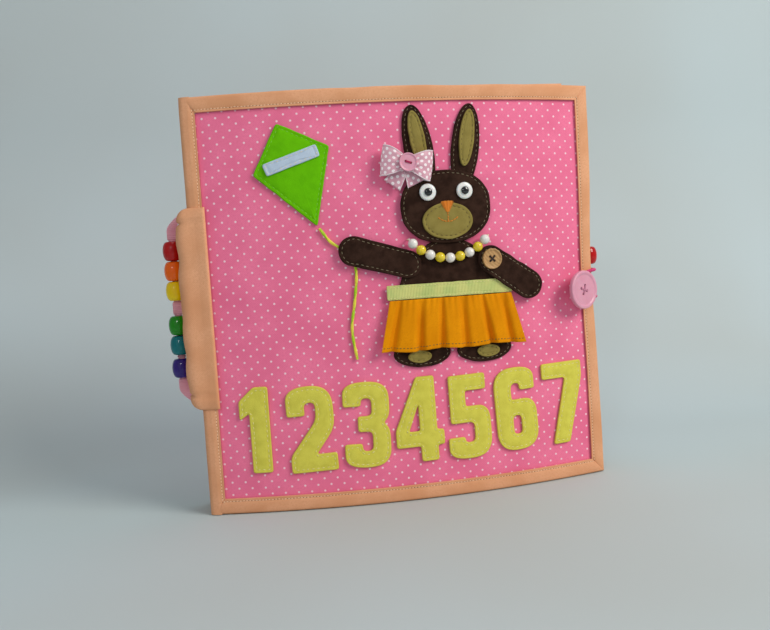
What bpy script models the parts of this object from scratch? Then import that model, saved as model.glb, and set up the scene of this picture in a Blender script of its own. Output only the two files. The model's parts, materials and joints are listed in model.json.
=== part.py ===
"""Soft activity book: padded covers on a cloth spine, with felt and wooden play pieces on the front.

The book stands upright on its bottom edge. +Z is up, +X runs from the spine to the fore-edge and the
front cover faces -Y. The origin is the middle of the back cover's bottom edge. Sizes are in metres.
"""

import math
from dataclasses import dataclass

import bmesh
import bpy
from mathutils import Matrix, Vector

# Book
COVER_WIDTH = 0.244
COVER_HEIGHT = 0.240
BOOK_DEPTH = 0.028
COVER_BOW = 0.016
COVER_HALF = 0.0033
LEAF_HALF = 0.0022
LEAF_WIDTH = 0.230
LEAF_HEIGHT = 0.237
LEAF_RISE = 0.0065
BINDING_WALL = 0.0010
BINDING_LIP = 0.0090
LEAF_WALL = 0.0007
LEAF_LIP = 0.0070
BINDING_ROUND = 0.0014
LEAF_ROUND = 0.0020
SPINE_THICK = 0.0018
GAP = 0.0003
LEAF_BOW_SHARES = (2 / 3, 1 / 3)
LEAF_RISE_SHARES = (1, 1 / 3)

# Strap round the spine, its ribbon and the beads on it
STRAP_BOTTOM = 0.062
STRAP_HEIGHT = 0.116
STRAP_THICK = 0.0040
STRAP_BULGE = 0.0030
STRAP_FLAP_THICK = 0.0020
STRAP_REACH = 0.0080
STRAP_ROUND = 0.0024
RIBBON_WIDTH = 0.0036
RIBBON_THICK = 0.0008
RIBBON_STANDOFF = 0.0110
RIBBON_RUN_IN = 0.0120
BEAD_DEPTH_SHARE = 0.70
BEAD_DIAMETER = 0.0120
BEAD_LENGTH = 0.0114
BEAD_BORE = 0.0044
BEAD_FLAT = 0.0016
BEAD_TOUCH = 0.0004
BEAD_TOP_SPACE = 0.0175
BEAD_WIDE_SPACE = 0.0090
BEAD_SMALL_SPACE = 0.0023
BEAD_SPACES = {
    "red": BEAD_TOP_SPACE,
    "orange": BEAD_TOUCH,
    "yellow": BEAD_TOUCH,
    "green": BEAD_WIDE_SPACE,
    "teal": BEAD_TOUCH,
    "purple": BEAD_SMALL_SPACE,
}

# Closing button, elastic loop and the loop's bead
CLOSING_DIAMETER = 0.0234
CLOSING_THICK = 0.0030
CLOSING_RIM = 0.0024
CLOSING_DISH = 0.0006
CLOSING_HOLE = 0.0016
CLOSING_HOLE_PITCH = 0.0039
CLOSING_INSET = 0.0135
CLOSING_HEIGHT = 0.1158
CLOSING_TILT = math.radians(14)
CLOSING_SPIN = math.radians(26)
SHANK_DIAMETER = 0.0036
ELASTIC_DIAMETER = 0.0020
ELASTIC_RISE = 0.0115
ELASTIC_FALL = 0.0050
ELASTIC_LEG_SHARES = (0.35, 0.70)
LOOP_BEAD_DIAMETER = 0.0120
LOOP_BEAD_LENGTH = 0.0114
LOOP_BEAD_BORE = 0.0040
LOOP_BEAD_FLAT = 0.0010
LOOP_BEAD_HEIGHT = 0.1360
BUTTON_EDGE_SHARE = 1 / 4

# Felt figure
FELT = 0.0014
FIGURE_ACROSS_SHARE = 0.60
FIGURE_BASE = 0.078
HEAD_WIDTH = 0.054
HEAD_HEIGHT = 0.042
BODY_WIDTH = 0.070
BODY_HEIGHT = 0.060
BODY_NARROW_SHARE = 0.25
EAR_WIDTH = 0.017
EAR_LENGTH = 0.050
EAR_SPREAD = 0.014
EAR_TUCK = 0.012
EAR_LINING_WIDTH = 0.009
EAR_LINING_LENGTH = 0.033
EAR_BORDER = 0.0035
MUZZLE_WIDTH = 0.030
MUZZLE_HEIGHT = 0.021
MUZZLE_DROP_SHARE = 1 / 5
EYE_DIAMETER = 0.0100
EYE_THICK = 0.0020
EYE_SPREAD = 0.0110
EYE_RISE_SHARE = 1 / 5
EYE_EDGE_SHARE = 1 / 3
PUPIL_DIAMETER = 0.0046
PUPIL_THICK = 0.0012
FOOT_WIDTH = 0.034
FOOT_HEIGHT = 0.016
FOOT_SPREAD = 0.019
SHOULDER_SPREAD = 0.0250
SHOULDER_DROP = 0.014
ARM_SHOULDER_RADIUS = 0.0080
ARM_PAW_RADIUS = 0.0086
SWING_ARM_LENGTH = 0.0285
RAISED_ARM_LENGTH = 0.032
ARM_BUTTON_DIAMETER = 0.0120
ARM_BUTTON_THICK = 0.0024
ARM_BUTTON_RIM = 0.0014
ARM_BUTTON_HOLE = 0.0014
ARM_BUTTON_PITCH = 0.0026
EAR_LEAN = math.radians(9)
SWING_ARM_ANGLE = math.radians(-35)
RAISED_ARM_ANGLE = math.radians(163)

# Bow, necklace and skirt
BOW_WIDTH = 0.030
BOW_HEIGHT = 0.017
BOW_DEPTH = 0.0050
BOW_PINCH_SHARE = 0.40
BOW_RISE_SHARE = 1 / 4
BOW_END_SHARE = 0.15
BOW_BUTTON_DIAMETER = 0.0105
BOW_BUTTON_THICK = 0.0020
BOW_BUTTON_RIM = 0.0012
BOW_BUTTON_HOLE = 0.0014
BOW_BUTTON_PITCH = 0.0030
PEARLS = 9
PEARL_DIAMETER = 0.0058
PEARL_BORE = 0.0020
PEARL_PITCH = 0.0061
NECKLACE_SPAN = 0.048
NECKLACE_DROP = 0.012
THREAD_DIAMETER = 0.0008
WAISTBAND_HEIGHT = 0.0085
WAISTBAND_WIDTH = 0.076
WAISTBAND_THICK = 0.0010
WAIST_RISE = 0.040
SKIRT_LENGTH = 0.030
SKIRT_TOP_WIDTH = 0.074
SKIRT_HEM_WIDTH = 0.088
SKIRT_THICK = 0.0007
SKIRT_FOLD = 0.0044
SKIRT_TOP_FOLD = 0.0012
SKIRT_PLEATS = 6

# Kite and its line
KITE_ACROSS_SHARE = 0.24
KITE_UP = 0.192
KITE_WIDTH = 0.046
KITE_LENGTH = 0.062
KITE_SHOULDER_SHARE = 0.36
KITE_LEAN = math.radians(18)
KITE_STRIP_WIDTH = 0.007
LINE_DIAMETER = 0.0018
LINE_TAIL = 0.062
LINE_RUN_SHARES = (0.35, 0.60)
LINE_PAW_SHARE = 0.72
LINE_SWAY_SHARES = ((1 / 4, 0.20), (-1 / 4, 0.45), (-1, 0.72), (-1 / 2, 1.00))

# How finely the shapes are cut
COLUMNS = 16
OUTLINE_STEPS = 28
TURN_STEPS = 20
BEAD_STEPS = 16
PEARL_STEPS = 10
HOLE_STEPS = 8
LOOP_STEPS = 4
PLEAT_STEPS = 8
SKIRT_ROWS = 5
BINDING_SMOOTH = math.radians(40)
BOW_SMOOTH = math.radians(50)
MERGE = 0.00001

COLOURS = {
    "pink_cotton": "d4668a",
    "peach_cotton": "e8a878",
    "brown_felt": "3e2a20",
    "olive_felt": "97874b",
    "green_felt": "64b414",
    "pale_blue_felt": "bfd0e2",
    "orange_cotton": "e08a14",
    "grosgrain": "c9d282",
    "pink_ribbon": "e6a6b4",
    "pink_plastic": "e79cb2",
    "hot_pink_elastic": "d8347c",
    "white_plastic": "ececea",
    "black_plastic": "0c0c0e",
    "yellow_plastic": "e0c020",
    "thread": "e8e2d0",
    "line_cord": "b9d41c",
    "light_wood": "9a5a34",
    "red": "b00a0a",
    "orange": "e1500a",
    "yellow": "d2aa0a",
    "green": "196e0f",
    "teal": "00706f",
    "purple": "3a2470",
}
GLOSSY = {"red", "orange", "yellow", "green", "teal", "purple", "pink_plastic", "white_plastic",
          "black_plastic", "yellow_plastic"}
GLOSS_ROUGHNESS = 0.25
CLOTH_ROUGHNESS = 0.9


@dataclass(frozen=True)
class Panel:
    """A padded rectangle, one page or cover, that swells forward across its width."""

    left: float
    middle: float
    bottom: float
    width: float
    height: float
    half: float
    wall: float
    lip: float
    edge_round: float
    bow: float
    rise: float

    def parabola(self, across):
        """Swell of the smooth surface: nothing at both edges and the bow halfway."""
        return self.bow * (1 - (2 * across / self.width - 1) ** 2)

    def swell(self, across):
        """Swell of the modelled surface, which is straight between its column lines."""
        column = self.width / COLUMNS
        index = min(max(math.floor(across / column), 0), COLUMNS - 1)
        low, high = self.parabola(index * column), self.parabola((index + 1) * column)
        return low + (high - low) * (across / column - index)

    def point(self, across, up, out):
        """World place of a point by its distance across, up, and forward of the middle plane."""
        return Vector((self.left + across, self.middle - self.swell(across) - out,
                       self.bottom + up + self.rise * across / self.width))

    def slope(self, across):
        """Angle about Z that turns a flat piece to lie along the surface there."""
        return math.atan(self.bow * 4 * (2 * across / self.width - 1) / self.width)

    @property
    def face(self):
        """Height of the pad's cloth over the middle plane."""
        return self.half - self.wall - GAP


BOOK_LEFT = -COVER_WIDTH / 2
PANEL_LEFT = BOOK_LEFT + SPINE_THICK + GAP
PANEL_WIDTH = COVER_WIDTH - SPINE_THICK - GAP
FRONT_MIDDLE = 2 * COVER_HALF - BOOK_DEPTH
LEAF_SPACE = (-FRONT_MIDDLE - 2 * COVER_HALF - 4 * LEAF_HALF) / 3
LEAF_MIDDLES = (
    FRONT_MIDDLE + COVER_HALF + LEAF_SPACE + LEAF_HALF,
    FRONT_MIDDLE + COVER_HALF + 2 * LEAF_SPACE + 3 * LEAF_HALF,
)
FRONT_FACE = FRONT_MIDDLE - COVER_HALF
BACK_FACE = COVER_HALF

FRONT = Panel(PANEL_LEFT, FRONT_MIDDLE, 0, PANEL_WIDTH, COVER_HEIGHT, COVER_HALF, BINDING_WALL,
              BINDING_LIP, BINDING_ROUND, COVER_BOW, 0)
BACK = Panel(PANEL_LEFT, 0, 0, PANEL_WIDTH, COVER_HEIGHT, COVER_HALF, BINDING_WALL,
             BINDING_LIP, BINDING_ROUND, 0, 0)
LEAVES = [
    Panel(PANEL_LEFT, middle, GAP, LEAF_WIDTH, LEAF_HEIGHT, LEAF_HALF, LEAF_WALL,
          LEAF_LIP, LEAF_ROUND, COVER_BOW * bow_share, LEAF_RISE * rise_share)
    for middle, bow_share, rise_share in zip(LEAF_MIDDLES, LEAF_BOW_SHARES, LEAF_RISE_SHARES)
]

FIGURE_ACROSS = FIGURE_ACROSS_SHARE * PANEL_WIDTH
KITE_ACROSS = KITE_ACROSS_SHARE * PANEL_WIDTH
WAIST_HEIGHT = FIGURE_BASE + WAIST_RISE

# Heights over the front cover's middle plane at which felt layers begin
LAYER = FELT + GAP
FIRST = FRONT.face + GAP
SECOND = FIRST + LAYER
THIRD = SECOND + LAYER
ARM_LAYER = FIRST + LINE_DIAMETER + GAP
SWING_LAYER = SECOND + WAISTBAND_THICK + GAP


def clear_scene():
    """Remove whatever the scene holds."""
    for thing in list(bpy.data.objects):
        bpy.data.objects.remove(thing, do_unlink=True)


def collection(name):
    """A collection of its own under the scene's."""
    made = bpy.data.collections.new(name)
    bpy.context.scene.collection.children.link(made)
    return made


def linear(hex_colour):
    """Linear RGBA from an sRGB hex colour."""
    channels = [int(hex_colour[i:i + 2], 16) / 255 for i in (0, 2, 4)]
    return [c / 12.92 if c <= 0.04045 else ((c + 0.055) / 1.055) ** 2.4 for c in channels] + [1]


def material(name, colour):
    """A Principled material in one of the named colours."""
    made = bpy.data.materials.new(name)
    made.use_nodes = True
    shader = made.node_tree.nodes["Principled BSDF"]
    shader.inputs["Base Color"].default_value = linear(COLOURS[colour])
    shader.inputs["Roughness"].default_value = GLOSS_ROUGHNESS if colour in GLOSSY else CLOTH_ROUGHNESS
    shader.inputs["Metallic"].default_value = 0
    return made


def new_object(name, data, colour, at=(0, 0, 0), turn=(0, 0, 0)):
    """Put a mesh or curve in the book's collection, with a material of its own."""
    made = bpy.data.objects.new(name, data)
    made.location = at
    made.rotation_euler = turn
    data.materials.append(material(name, colour))
    BOOK.objects.link(made)
    return made


def mesh_from(bm, name, smooth_angle=None):
    """Finish a bmesh: faces out, then smooth shading where an angle is given."""
    bmesh.ops.recalc_face_normals(bm, faces=bm.faces[:])
    mesh = bpy.data.meshes.new(name)
    bm.to_mesh(mesh)
    bm.free()
    if smooth_angle is not None:
        mesh.shade_smooth()
        mesh.set_sharp_from_angle(angle=smooth_angle)
    return mesh


def ellipse(centre, width, height, turn=0.0, power=2.0):
    """Outline of an ellipse, or with a higher power of one with fuller corners."""
    points = []
    for step in range(OUTLINE_STEPS):
        angle = math.tau * step / OUTLINE_STEPS
        c, s = math.cos(angle), math.sin(angle)
        x = width / 2 * math.copysign(abs(c) ** (2 / power), c)
        y = height / 2 * math.copysign(abs(s) ** (2 / power), s)
        points.append((centre[0] + x * math.cos(turn) - y * math.sin(turn),
                       centre[1] + x * math.sin(turn) + y * math.cos(turn)))
    return points


def pear(centre, width, height, narrow_share):
    """Outline of a pear: an ellipse whose top is drawn in by a share of its width."""
    points = []
    for step in range(OUTLINE_STEPS):
        angle = math.tau * step / OUTLINE_STEPS
        rise = math.sin(angle)
        drawn = 1 - narrow_share * (1 + rise) / 2
        points.append((centre[0] + width / 2 * math.cos(angle) * drawn, centre[1] + height / 2 * rise))
    return points


def limb(start, length, angle, start_radius, end_radius):
    """Outline of a limb: a round shoulder, straight sides and a round paw."""
    points = []
    half_turn = OUTLINE_STEPS // 2
    along = (math.cos(angle), math.sin(angle))
    ends = ((start, start_radius, angle + math.pi / 2),
            ((start[0] + length * along[0], start[1] + length * along[1]), end_radius, angle - math.pi / 2))
    for centre, radius, first in ends:
        for step in range(half_turn + 1):
            turned = first + math.pi * step / half_turn
            points.append((centre[0] + radius * math.cos(turned), centre[1] + radius * math.sin(turned)))
    return points


def turned_outline(outline, centre, angle):
    """Turn an outline about a point."""
    c, s = math.cos(angle), math.sin(angle)
    return [(centre[0] + (x - centre[0]) * c - (y - centre[1]) * s,
             centre[1] + (x - centre[0]) * s + (y - centre[1]) * c) for x, y in outline]


def rectangle(low, high):
    """Outline of a rectangle from its low and high corners."""
    return [(low[0], low[1]), (high[0], low[1]), (high[0], high[1]), (low[0], high[1])]


def slab(name, panel, outline, low, high, colour):
    """Cut a flat piece to an outline and lay it on a panel, between two heights over its middle."""
    bm = bmesh.new()
    bm.faces.new([bm.verts.new((across, 0, up)) for across, up in outline])
    for index in range(1, COLUMNS):
        line = (panel.width * index / COLUMNS, 0, 0)
        bmesh.ops.bisect_plane(bm, geom=bm.verts[:] + bm.edges[:] + bm.faces[:], dist=MERGE,
                               plane_co=line, plane_no=(1, 0, 0))
    raised = bmesh.ops.extrude_face_region(bm, geom=bm.faces[:])["geom"]
    top = {item for item in raised if isinstance(item, bmesh.types.BMVert)}
    for vert in bm.verts:
        vert.co = panel.point(vert.co.x, vert.co.z, high if vert in top else low)
    return new_object(name, mesh_from(bm, name), colour)


def prism(name, outline, low, high, colour, axis="Z"):
    """Extrude a flat outline: one in X and Y along Z, or one in X and Z along Y."""
    bm = bmesh.new()
    place = (lambda a, b, c: (a, b, c)) if axis == "Z" else (lambda a, b, c: (a, c, b))
    bm.faces.new([bm.verts.new(place(a, b, low)) for a, b in outline])
    raised = bmesh.ops.extrude_face_region(bm, geom=bm.faces[:])["geom"]
    shift = Vector(place(0, 0, high - low))
    bmesh.ops.translate(bm, verts=[v for v in raised if isinstance(v, bmesh.types.BMVert)], vec=shift)
    return new_object(name, mesh_from(bm, name), colour)


def binding_profile(panel, corner_steps=3):
    """Section of a folded binding: distance in from the edge, and height over the middle plane."""
    corner = []
    for step in range(corner_steps + 1):
        angle = math.pi / 2 * step / corner_steps
        corner.append((panel.edge_round * (1 - math.sin(angle)),
                       panel.half - panel.edge_round * (1 - math.cos(angle))))
    corner.reverse()
    upper = [(panel.lip, panel.half - panel.wall), (panel.lip, panel.half)]
    outer = upper + list(reversed(corner))
    inner = [(panel.wall, panel.half - panel.wall)]
    front = inner + outer
    return front + [(inset, -out) for inset, out in reversed(front)]


def binding(name, panel, colour):
    """Carry the binding's section round the panel, with mitred corners."""
    square = [(step / COLUMNS, 0) for step in range(COLUMNS)]
    square += [(1, 0)]
    square += [(1 - step / COLUMNS, 1) for step in range(COLUMNS)]
    square += [(0, 1)]
    bm = bmesh.new()
    rings = []
    for inset, out in binding_profile(panel):
        width, height = panel.width - 2 * inset, panel.height - 2 * inset
        rings.append([bm.verts.new(panel.point(inset + width * a, inset + height * b, out))
                      for a, b in square])
    for ring, following in zip(rings, rings[1:] + rings[:1]):
        for index in range(len(ring)):
            after = (index + 1) % len(ring)
            bm.faces.new((ring[index], ring[after], following[after], following[index]))
    return new_object(name, mesh_from(bm, name, BINDING_SMOOTH), colour)


def pad(name, panel, colour):
    """The padded cloth that the binding holds all round."""
    inset = panel.wall + GAP
    outline = rectangle((inset, inset), (panel.width - inset, panel.height - inset))
    return slab(name, panel, outline, -panel.face, panel.face, colour)


def turned(name, profile, colour, at, turn=(0, 0, 0), steps=TURN_STEPS, closed=False):
    """Turn a profile of radius and height, from the top down its outer side, about its own Z."""
    mesh = bpy.data.meshes.new(name)
    edges = [(i, i + 1) for i in range(len(profile) - 1)]
    if closed:
        edges.append((len(profile) - 1, 0))
    mesh.from_pydata([(radius, 0, height) for radius, height in profile], edges, [])
    made = new_object(name, mesh, colour, at, turn)
    screw = made.modifiers.new("Turn", "SCREW")
    screw.steps = steps
    screw.render_steps = steps
    screw.use_merge_vertices = True
    screw.merge_threshold = MERGE
    screw.use_smooth_shade = True
    return made


def bead_profile(diameter, length, bore, flat, arc_steps=6):
    """Closed profile of a round bead with flat ends and a straight bore."""
    radius, half = diameter / 2, length / 2
    rim = bore / 2 + flat
    outer = []
    for step in range(arc_steps + 1):
        angle = math.pi / 2 - math.pi * step / arc_steps
        outer.append((rim + (radius - rim) * math.cos(angle), half * math.sin(angle)))
    return [(bore / 2, half)] + outer + [(bore / 2, -half)]


def button_profile(diameter, thick, rim, dish):
    """Profile of a sewing button about its axis: dished middle, raised rim, slightly domed back."""
    radius = diameter / 2
    edge = thick * BUTTON_EDGE_SHARE
    return [(0, thick - dish), (radius - rim, thick - dish), (radius - rim + dish, thick),
            (radius - edge, thick), (radius, thick - edge), (radius, edge), (radius - edge, 0), (0, 0)]


def facing(panel, across, tilt=0.0):
    """Rotation that turns a piece's own Z to face out of a panel, or that and a tilt more to the side."""
    return (math.pi / 2, 0, panel.slope(across) + tilt)


def pierce(target, diameter, pitch, count, depth, spin=0.0):
    """Cut two or four thread holes through a button along its own axis."""
    bm = bmesh.new()
    for index in range(count):
        angle = math.tau * (index + 0.5) / count + spin
        centre = (pitch / 2 / math.sin(math.pi / count) * math.cos(angle),
                  pitch / 2 / math.sin(math.pi / count) * math.sin(angle), 0)
        bmesh.ops.create_cone(bm, cap_ends=True, segments=HOLE_STEPS, radius1=diameter / 2, radius2=diameter / 2,
                              depth=depth, matrix=Matrix.Translation(centre))
    cutter = bpy.data.objects.new(target.name + "_holes", mesh_from(bm, target.name + "_holes"))
    cutter.location = target.location
    cutter.rotation_euler = target.rotation_euler
    cutter.hide_render = True
    cutter.display_type = "WIRE"
    CUTTERS.objects.link(cutter)
    cut = target.modifiers.new("Thread holes", "BOOLEAN")
    cut.operation = "DIFFERENCE"
    cut.solver = "EXACT"
    cut.object = cutter
    return cutter


def smooth_route(points, spacing):
    """Read points at even steps from a Catmull-Rom curve through the route's own points."""
    points = [Vector(p) for p in points]
    ends = [2 * points[0] - points[1]] + points + [2 * points[-1] - points[-2]]
    fine = []
    for a, b, c, d in zip(ends, ends[1:], ends[2:], ends[3:]):
        steps = max(2, math.ceil((c - b).length / spacing))
        for step in range(steps):
            t = step / steps
            fine.append(0.5 * (2 * b + (c - a) * t + (2 * a - 5 * b + 4 * c - d) * t ** 2
                               + (3 * b - a - 3 * c + d) * t ** 3))
    return fine + [points[-1]]


def tube(name, points, diameter, colour, sides=2):
    """A round cord along a list of points."""
    curve = bpy.data.curves.new(name, "CURVE")
    curve.dimensions = "3D"
    curve.bevel_depth = diameter / 2
    curve.bevel_resolution = sides
    curve.use_fill_caps = True
    spline = curve.splines.new("POLY")
    spline.points.add(len(points) - 1)
    for target, point in zip(spline.points, points):
        target.co = (*point, 1)
    return new_object(name, curve, colour)


class Hinges:
    """The empties that stand on the joints' axes, and the pieces that each one carries."""

    def __init__(self):
        self.places = {}
        self.empties = {}

    def add(self, name, at, parent=None):
        """Stand an empty on a joint's axis, under the empty of the body that carries it."""
        empty = bpy.data.objects.new(name, None)
        origin = Vector((0, 0, 0))
        if parent:
            empty.parent = self.empties[parent]
            origin = self.places[parent]
        empty.location = Vector(at) - origin
        empty.empty_display_size = PEARL_DIAMETER
        BOOK.objects.link(empty)
        self.places[name] = Vector(at)
        self.empties[name] = empty

    def carry(self, name, pieces):
        """Parent pieces to a hinge's empty, without moving them."""
        for piece in pieces:
            piece.parent = self.empties[name]
            piece.location = Vector(piece.location) - self.places[name]


def build_book():
    """Covers, leaves and the spine strip between them."""
    made = {
        "front_cover": pad("front_cover", FRONT, "pink_cotton"),
        "front_cover_binding": binding("front_cover_binding", FRONT, "peach_cotton"),
        "back_cover": pad("back_cover", BACK, "pink_cotton"),
        "back_cover_binding": binding("back_cover_binding", BACK, "peach_cotton"),
    }
    for number, leaf in enumerate(LEAVES, 1):
        made[f"leaf_{number}"] = pad(f"leaf_{number}", leaf, "pink_cotton")
        made[f"leaf_{number}_binding"] = binding(f"leaf_{number}_binding", leaf, "peach_cotton")
    strip = rectangle((BOOK_LEFT, FRONT_FACE), (BOOK_LEFT + SPINE_THICK, BACK_FACE))
    made["spine_strip"] = prism("spine_strip", strip, 0, COVER_HEIGHT, "peach_cotton")
    return made


BEAD_LINE = Vector((BOOK_LEFT - RIBBON_STANDOFF, FRONT_FACE + BEAD_DEPTH_SHARE * (BACK_FACE - FRONT_FACE), 0))


def strap_outline(corner_steps=5, flap_steps=2):
    """Section of the strap from above: front flap, round the spine, thicker ahead of the beads, back flap."""
    reach = [STRAP_REACH * step / flap_steps for step in range(flap_steps, 0, -1)]
    inner_left = BOOK_LEFT - GAP
    under = COVER_HALF + GAP
    over = under + STRAP_FLAP_THICK
    front = [FRONT.point(across, 0, under).xy for across in reach]
    front_outer = [FRONT.point(across, 0, over).xy for across in reach]
    inner_front = (inner_left, FRONT_FACE - GAP)
    inner_back = (inner_left, BACK_FACE + GAP)
    back_y = BACK_FACE + GAP + STRAP_FLAP_THICK
    front_y = FRONT_FACE - GAP - STRAP_FLAP_THICK
    round_y = STRAP_ROUND + STRAP_FLAP_THICK
    thick = {"front": STRAP_THICK + STRAP_BULGE, "back": STRAP_THICK}
    corners = {"front": [], "back": []}
    for step in range(corner_steps + 1):
        angle = math.pi / 2 * step / corner_steps
        rise = round_y * (1 - math.cos(angle))
        corners["front"].append((inner_left - thick["front"] * math.sin(angle), front_y + rise))
        corners["back"].append((inner_left - thick["back"] * math.sin(angle), back_y - rise))
    bulge = [(inner_left - thick["back"], BEAD_LINE.y - BEAD_DIAMETER / 6),
             (inner_left - thick["front"], BEAD_LINE.y - (BEAD_DIAMETER + STRAP_BULGE) / 2)]
    inner = front + [inner_front, inner_back, (PANEL_LEFT + STRAP_REACH, inner_back[1])]
    outer = [(PANEL_LEFT + STRAP_REACH, back_y)] + corners["back"] + bulge
    outer += list(reversed(corners["front"])) + list(reversed(front_outer))
    return inner + outer


def ribbon_outline(bend_steps=5):
    """Face of the bead ribbon: out from the strap, straight down beside it, and in again."""
    straight = BOOK_LEFT - RIBBON_STANDOFF
    sewn = BOOK_LEFT - GAP - STRAP_THICK - GAP - RIBBON_WIDTH / 2
    middle = STRAP_BOTTOM + STRAP_HEIGHT / 2
    side = []
    for step in range(bend_steps + 1):
        turn = math.sin(math.pi / 2 * step / bend_steps)
        side.append((sewn + (straight - sewn) * turn, STRAP_HEIGHT / 2 - RIBBON_RUN_IN * step / bend_steps))
    centre = [(x, middle + rise) for x, rise in side]
    centre += [(x, middle - rise) for x, rise in reversed(side)]
    left = [(x - RIBBON_WIDTH / 2, z) for x, z in centre]
    right = [(x + RIBBON_WIDTH / 2, z) for x, z in reversed(centre)]
    return left + right


def build_spine_pieces():
    """Strap round the spine, the ribbon sewn to it and the six beads on the ribbon."""
    made = {
        "spine_strap": prism("spine_strap", strap_outline(), STRAP_BOTTOM, STRAP_BOTTOM + STRAP_HEIGHT,
                             "peach_cotton"),
        "bead_ribbon": prism("bead_ribbon", ribbon_outline(), BEAD_LINE.y - RIBBON_THICK / 2,
                             BEAD_LINE.y + RIBBON_THICK / 2, "pink_ribbon", axis="Y"),
    }
    profile = bead_profile(BEAD_DIAMETER, BEAD_LENGTH, BEAD_BORE, BEAD_FLAT)
    top = STRAP_BOTTOM + STRAP_HEIGHT
    for colour, space in BEAD_SPACES.items():
        at = BEAD_LINE + Vector((0, 0, top - space - BEAD_LENGTH / 2))
        made[f"bead_{colour}"] = turned(f"bead_{colour}", profile, colour, at, steps=BEAD_STEPS, closed=True)
        top -= space + BEAD_LENGTH
    return made


CLOSING_ACROSS = PANEL_WIDTH - CLOSING_INSET
ELASTIC_OUT = COVER_HALF + GAP + ELASTIC_DIAMETER / 2
BUTTON_OUT = ELASTIC_OUT + ELASTIC_DIAMETER / 2 + GAP + CLOSING_DIAMETER / 2 * math.sin(CLOSING_TILT)
LOOP_BEAD_ACROSS = PANEL_WIDTH + GAP + LOOP_BEAD_DIAMETER / 2


def build_closing():
    """Closing button that leans on its thread shank, the elastic loop round it, and the loop's bead."""
    height = (BUTTON_OUT - FIRST) * math.cos(FRONT.slope(CLOSING_ACROSS))
    shank = (height - SHANK_DIAMETER / 2 * math.sin(CLOSING_TILT)) / math.cos(CLOSING_TILT)
    disc = button_profile(CLOSING_DIAMETER, CLOSING_THICK, CLOSING_RIM, CLOSING_DISH)
    profile = disc[:-1] + [(SHANK_DIAMETER / 2, 0), (SHANK_DIAMETER / 2, -shank), (0, -shank)]
    at = FRONT.point(CLOSING_ACROSS, CLOSING_HEIGHT, BUTTON_OUT)
    turn = facing(FRONT, CLOSING_ACROSS, CLOSING_TILT)
    button = turned("closing_button", profile, "pink_plastic", at, turn)
    pierce(button, CLOSING_HOLE, CLOSING_HOLE_PITCH, 4, 2 * CLOSING_THICK, CLOSING_SPIN)
    at = BACK.point(LOOP_BEAD_ACROSS, LOOP_BEAD_HEIGHT, 0)
    profile = bead_profile(LOOP_BEAD_DIAMETER, LOOP_BEAD_LENGTH, LOOP_BEAD_BORE, LOOP_BEAD_FLAT)
    bead = turned("loop_bead", profile, "red", at, steps=BEAD_STEPS, closed=True)
    elastic = tube("elastic_loop", elastic_route(), ELASTIC_DIAMETER, "hot_pink_elastic")
    return {"closing_button": button, "loop_bead": bead, "elastic_loop": elastic}


def shank_across():
    """Where the leaning shank crosses the height at which the elastic goes round it."""
    slope = FRONT.slope(CLOSING_ACROSS)
    lean = slope + CLOSING_TILT
    run = (BUTTON_OUT - ELASTIC_OUT) / (math.cos(lean) + math.tan(slope) * math.sin(lean))
    return CLOSING_ACROSS - run * math.sin(lean)


def elastic_route():
    """From the back cover's edge down through its bead, forward round the shank, and back again."""
    edge = PANEL_WIDTH + GAP + ELASTIC_DIAMETER / 2
    bead = LOOP_BEAD_ACROSS
    bead_half = LOOP_BEAD_LENGTH / 2 + ELASTIC_DIAMETER
    shank = shank_across()
    turn = SHANK_DIAMETER / 2 / math.cos(CLOSING_TILT) + GAP
    turn += ELASTIC_DIAMETER / 2 * (1 + math.tan(CLOSING_TILT))
    top, low = CLOSING_HEIGHT + ELASTIC_RISE, CLOSING_HEIGHT - ELASTIC_FALL
    near = FRONT_MIDDLE - ELASTIC_OUT
    route = [
        (PANEL_LEFT + PANEL_WIDTH + GAP, 0, LOOP_BEAD_HEIGHT + bead_half + ELASTIC_DIAMETER),
        (PANEL_LEFT + bead - ELASTIC_DIAMETER, 0, LOOP_BEAD_HEIGHT + bead_half + ELASTIC_DIAMETER),
        (PANEL_LEFT + bead, 0, LOOP_BEAD_HEIGHT + bead_half),
        (PANEL_LEFT + bead, 0, LOOP_BEAD_HEIGHT),
        (PANEL_LEFT + bead, 0, LOOP_BEAD_HEIGHT - bead_half),
        (PANEL_LEFT + (bead + edge) / 2, FRONT_MIDDLE / 3, top),
        (PANEL_LEFT + edge, FRONT_MIDDLE * 2 / 3, top),
        (PANEL_LEFT + edge, near, top),
    ]
    for share in ELASTIC_LEG_SHARES:
        across = edge + (shank - edge) * share
        route.append(FRONT.point(across, top + (turn - ELASTIC_RISE) * share ** 2, ELASTIC_OUT))
    for step in range(LOOP_STEPS + 1):
        angle = math.pi * (1 / 2 + step / LOOP_STEPS)
        across = shank + turn * math.cos(angle)
        route.append(FRONT.point(across, CLOSING_HEIGHT + turn * math.sin(angle), ELASTIC_OUT))
    for share in reversed(ELASTIC_LEG_SHARES):
        across = edge + (shank - edge) * share
        route.append(FRONT.point(across, low - (turn - ELASTIC_FALL) * share ** 2, ELASTIC_OUT))
    route += [
        (PANEL_LEFT + edge, near, low),
        (PANEL_LEFT + edge, FRONT_MIDDLE / 2, low),
        (PANEL_LEFT + edge, 0, low),
    ]
    return smooth_route(route, 2 * ELASTIC_DIAMETER)


BODY_UP = WAIST_HEIGHT + WAISTBAND_HEIGHT / 2
BODY_TOP = BODY_UP + BODY_HEIGHT / 2
HEAD_UP = BODY_TOP - LAYER - FELT + HEAD_HEIGHT / 2
SHOULDER_UP = BODY_TOP - SHOULDER_DROP
NECKLACE_HEIGHT = BODY_TOP


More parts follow.
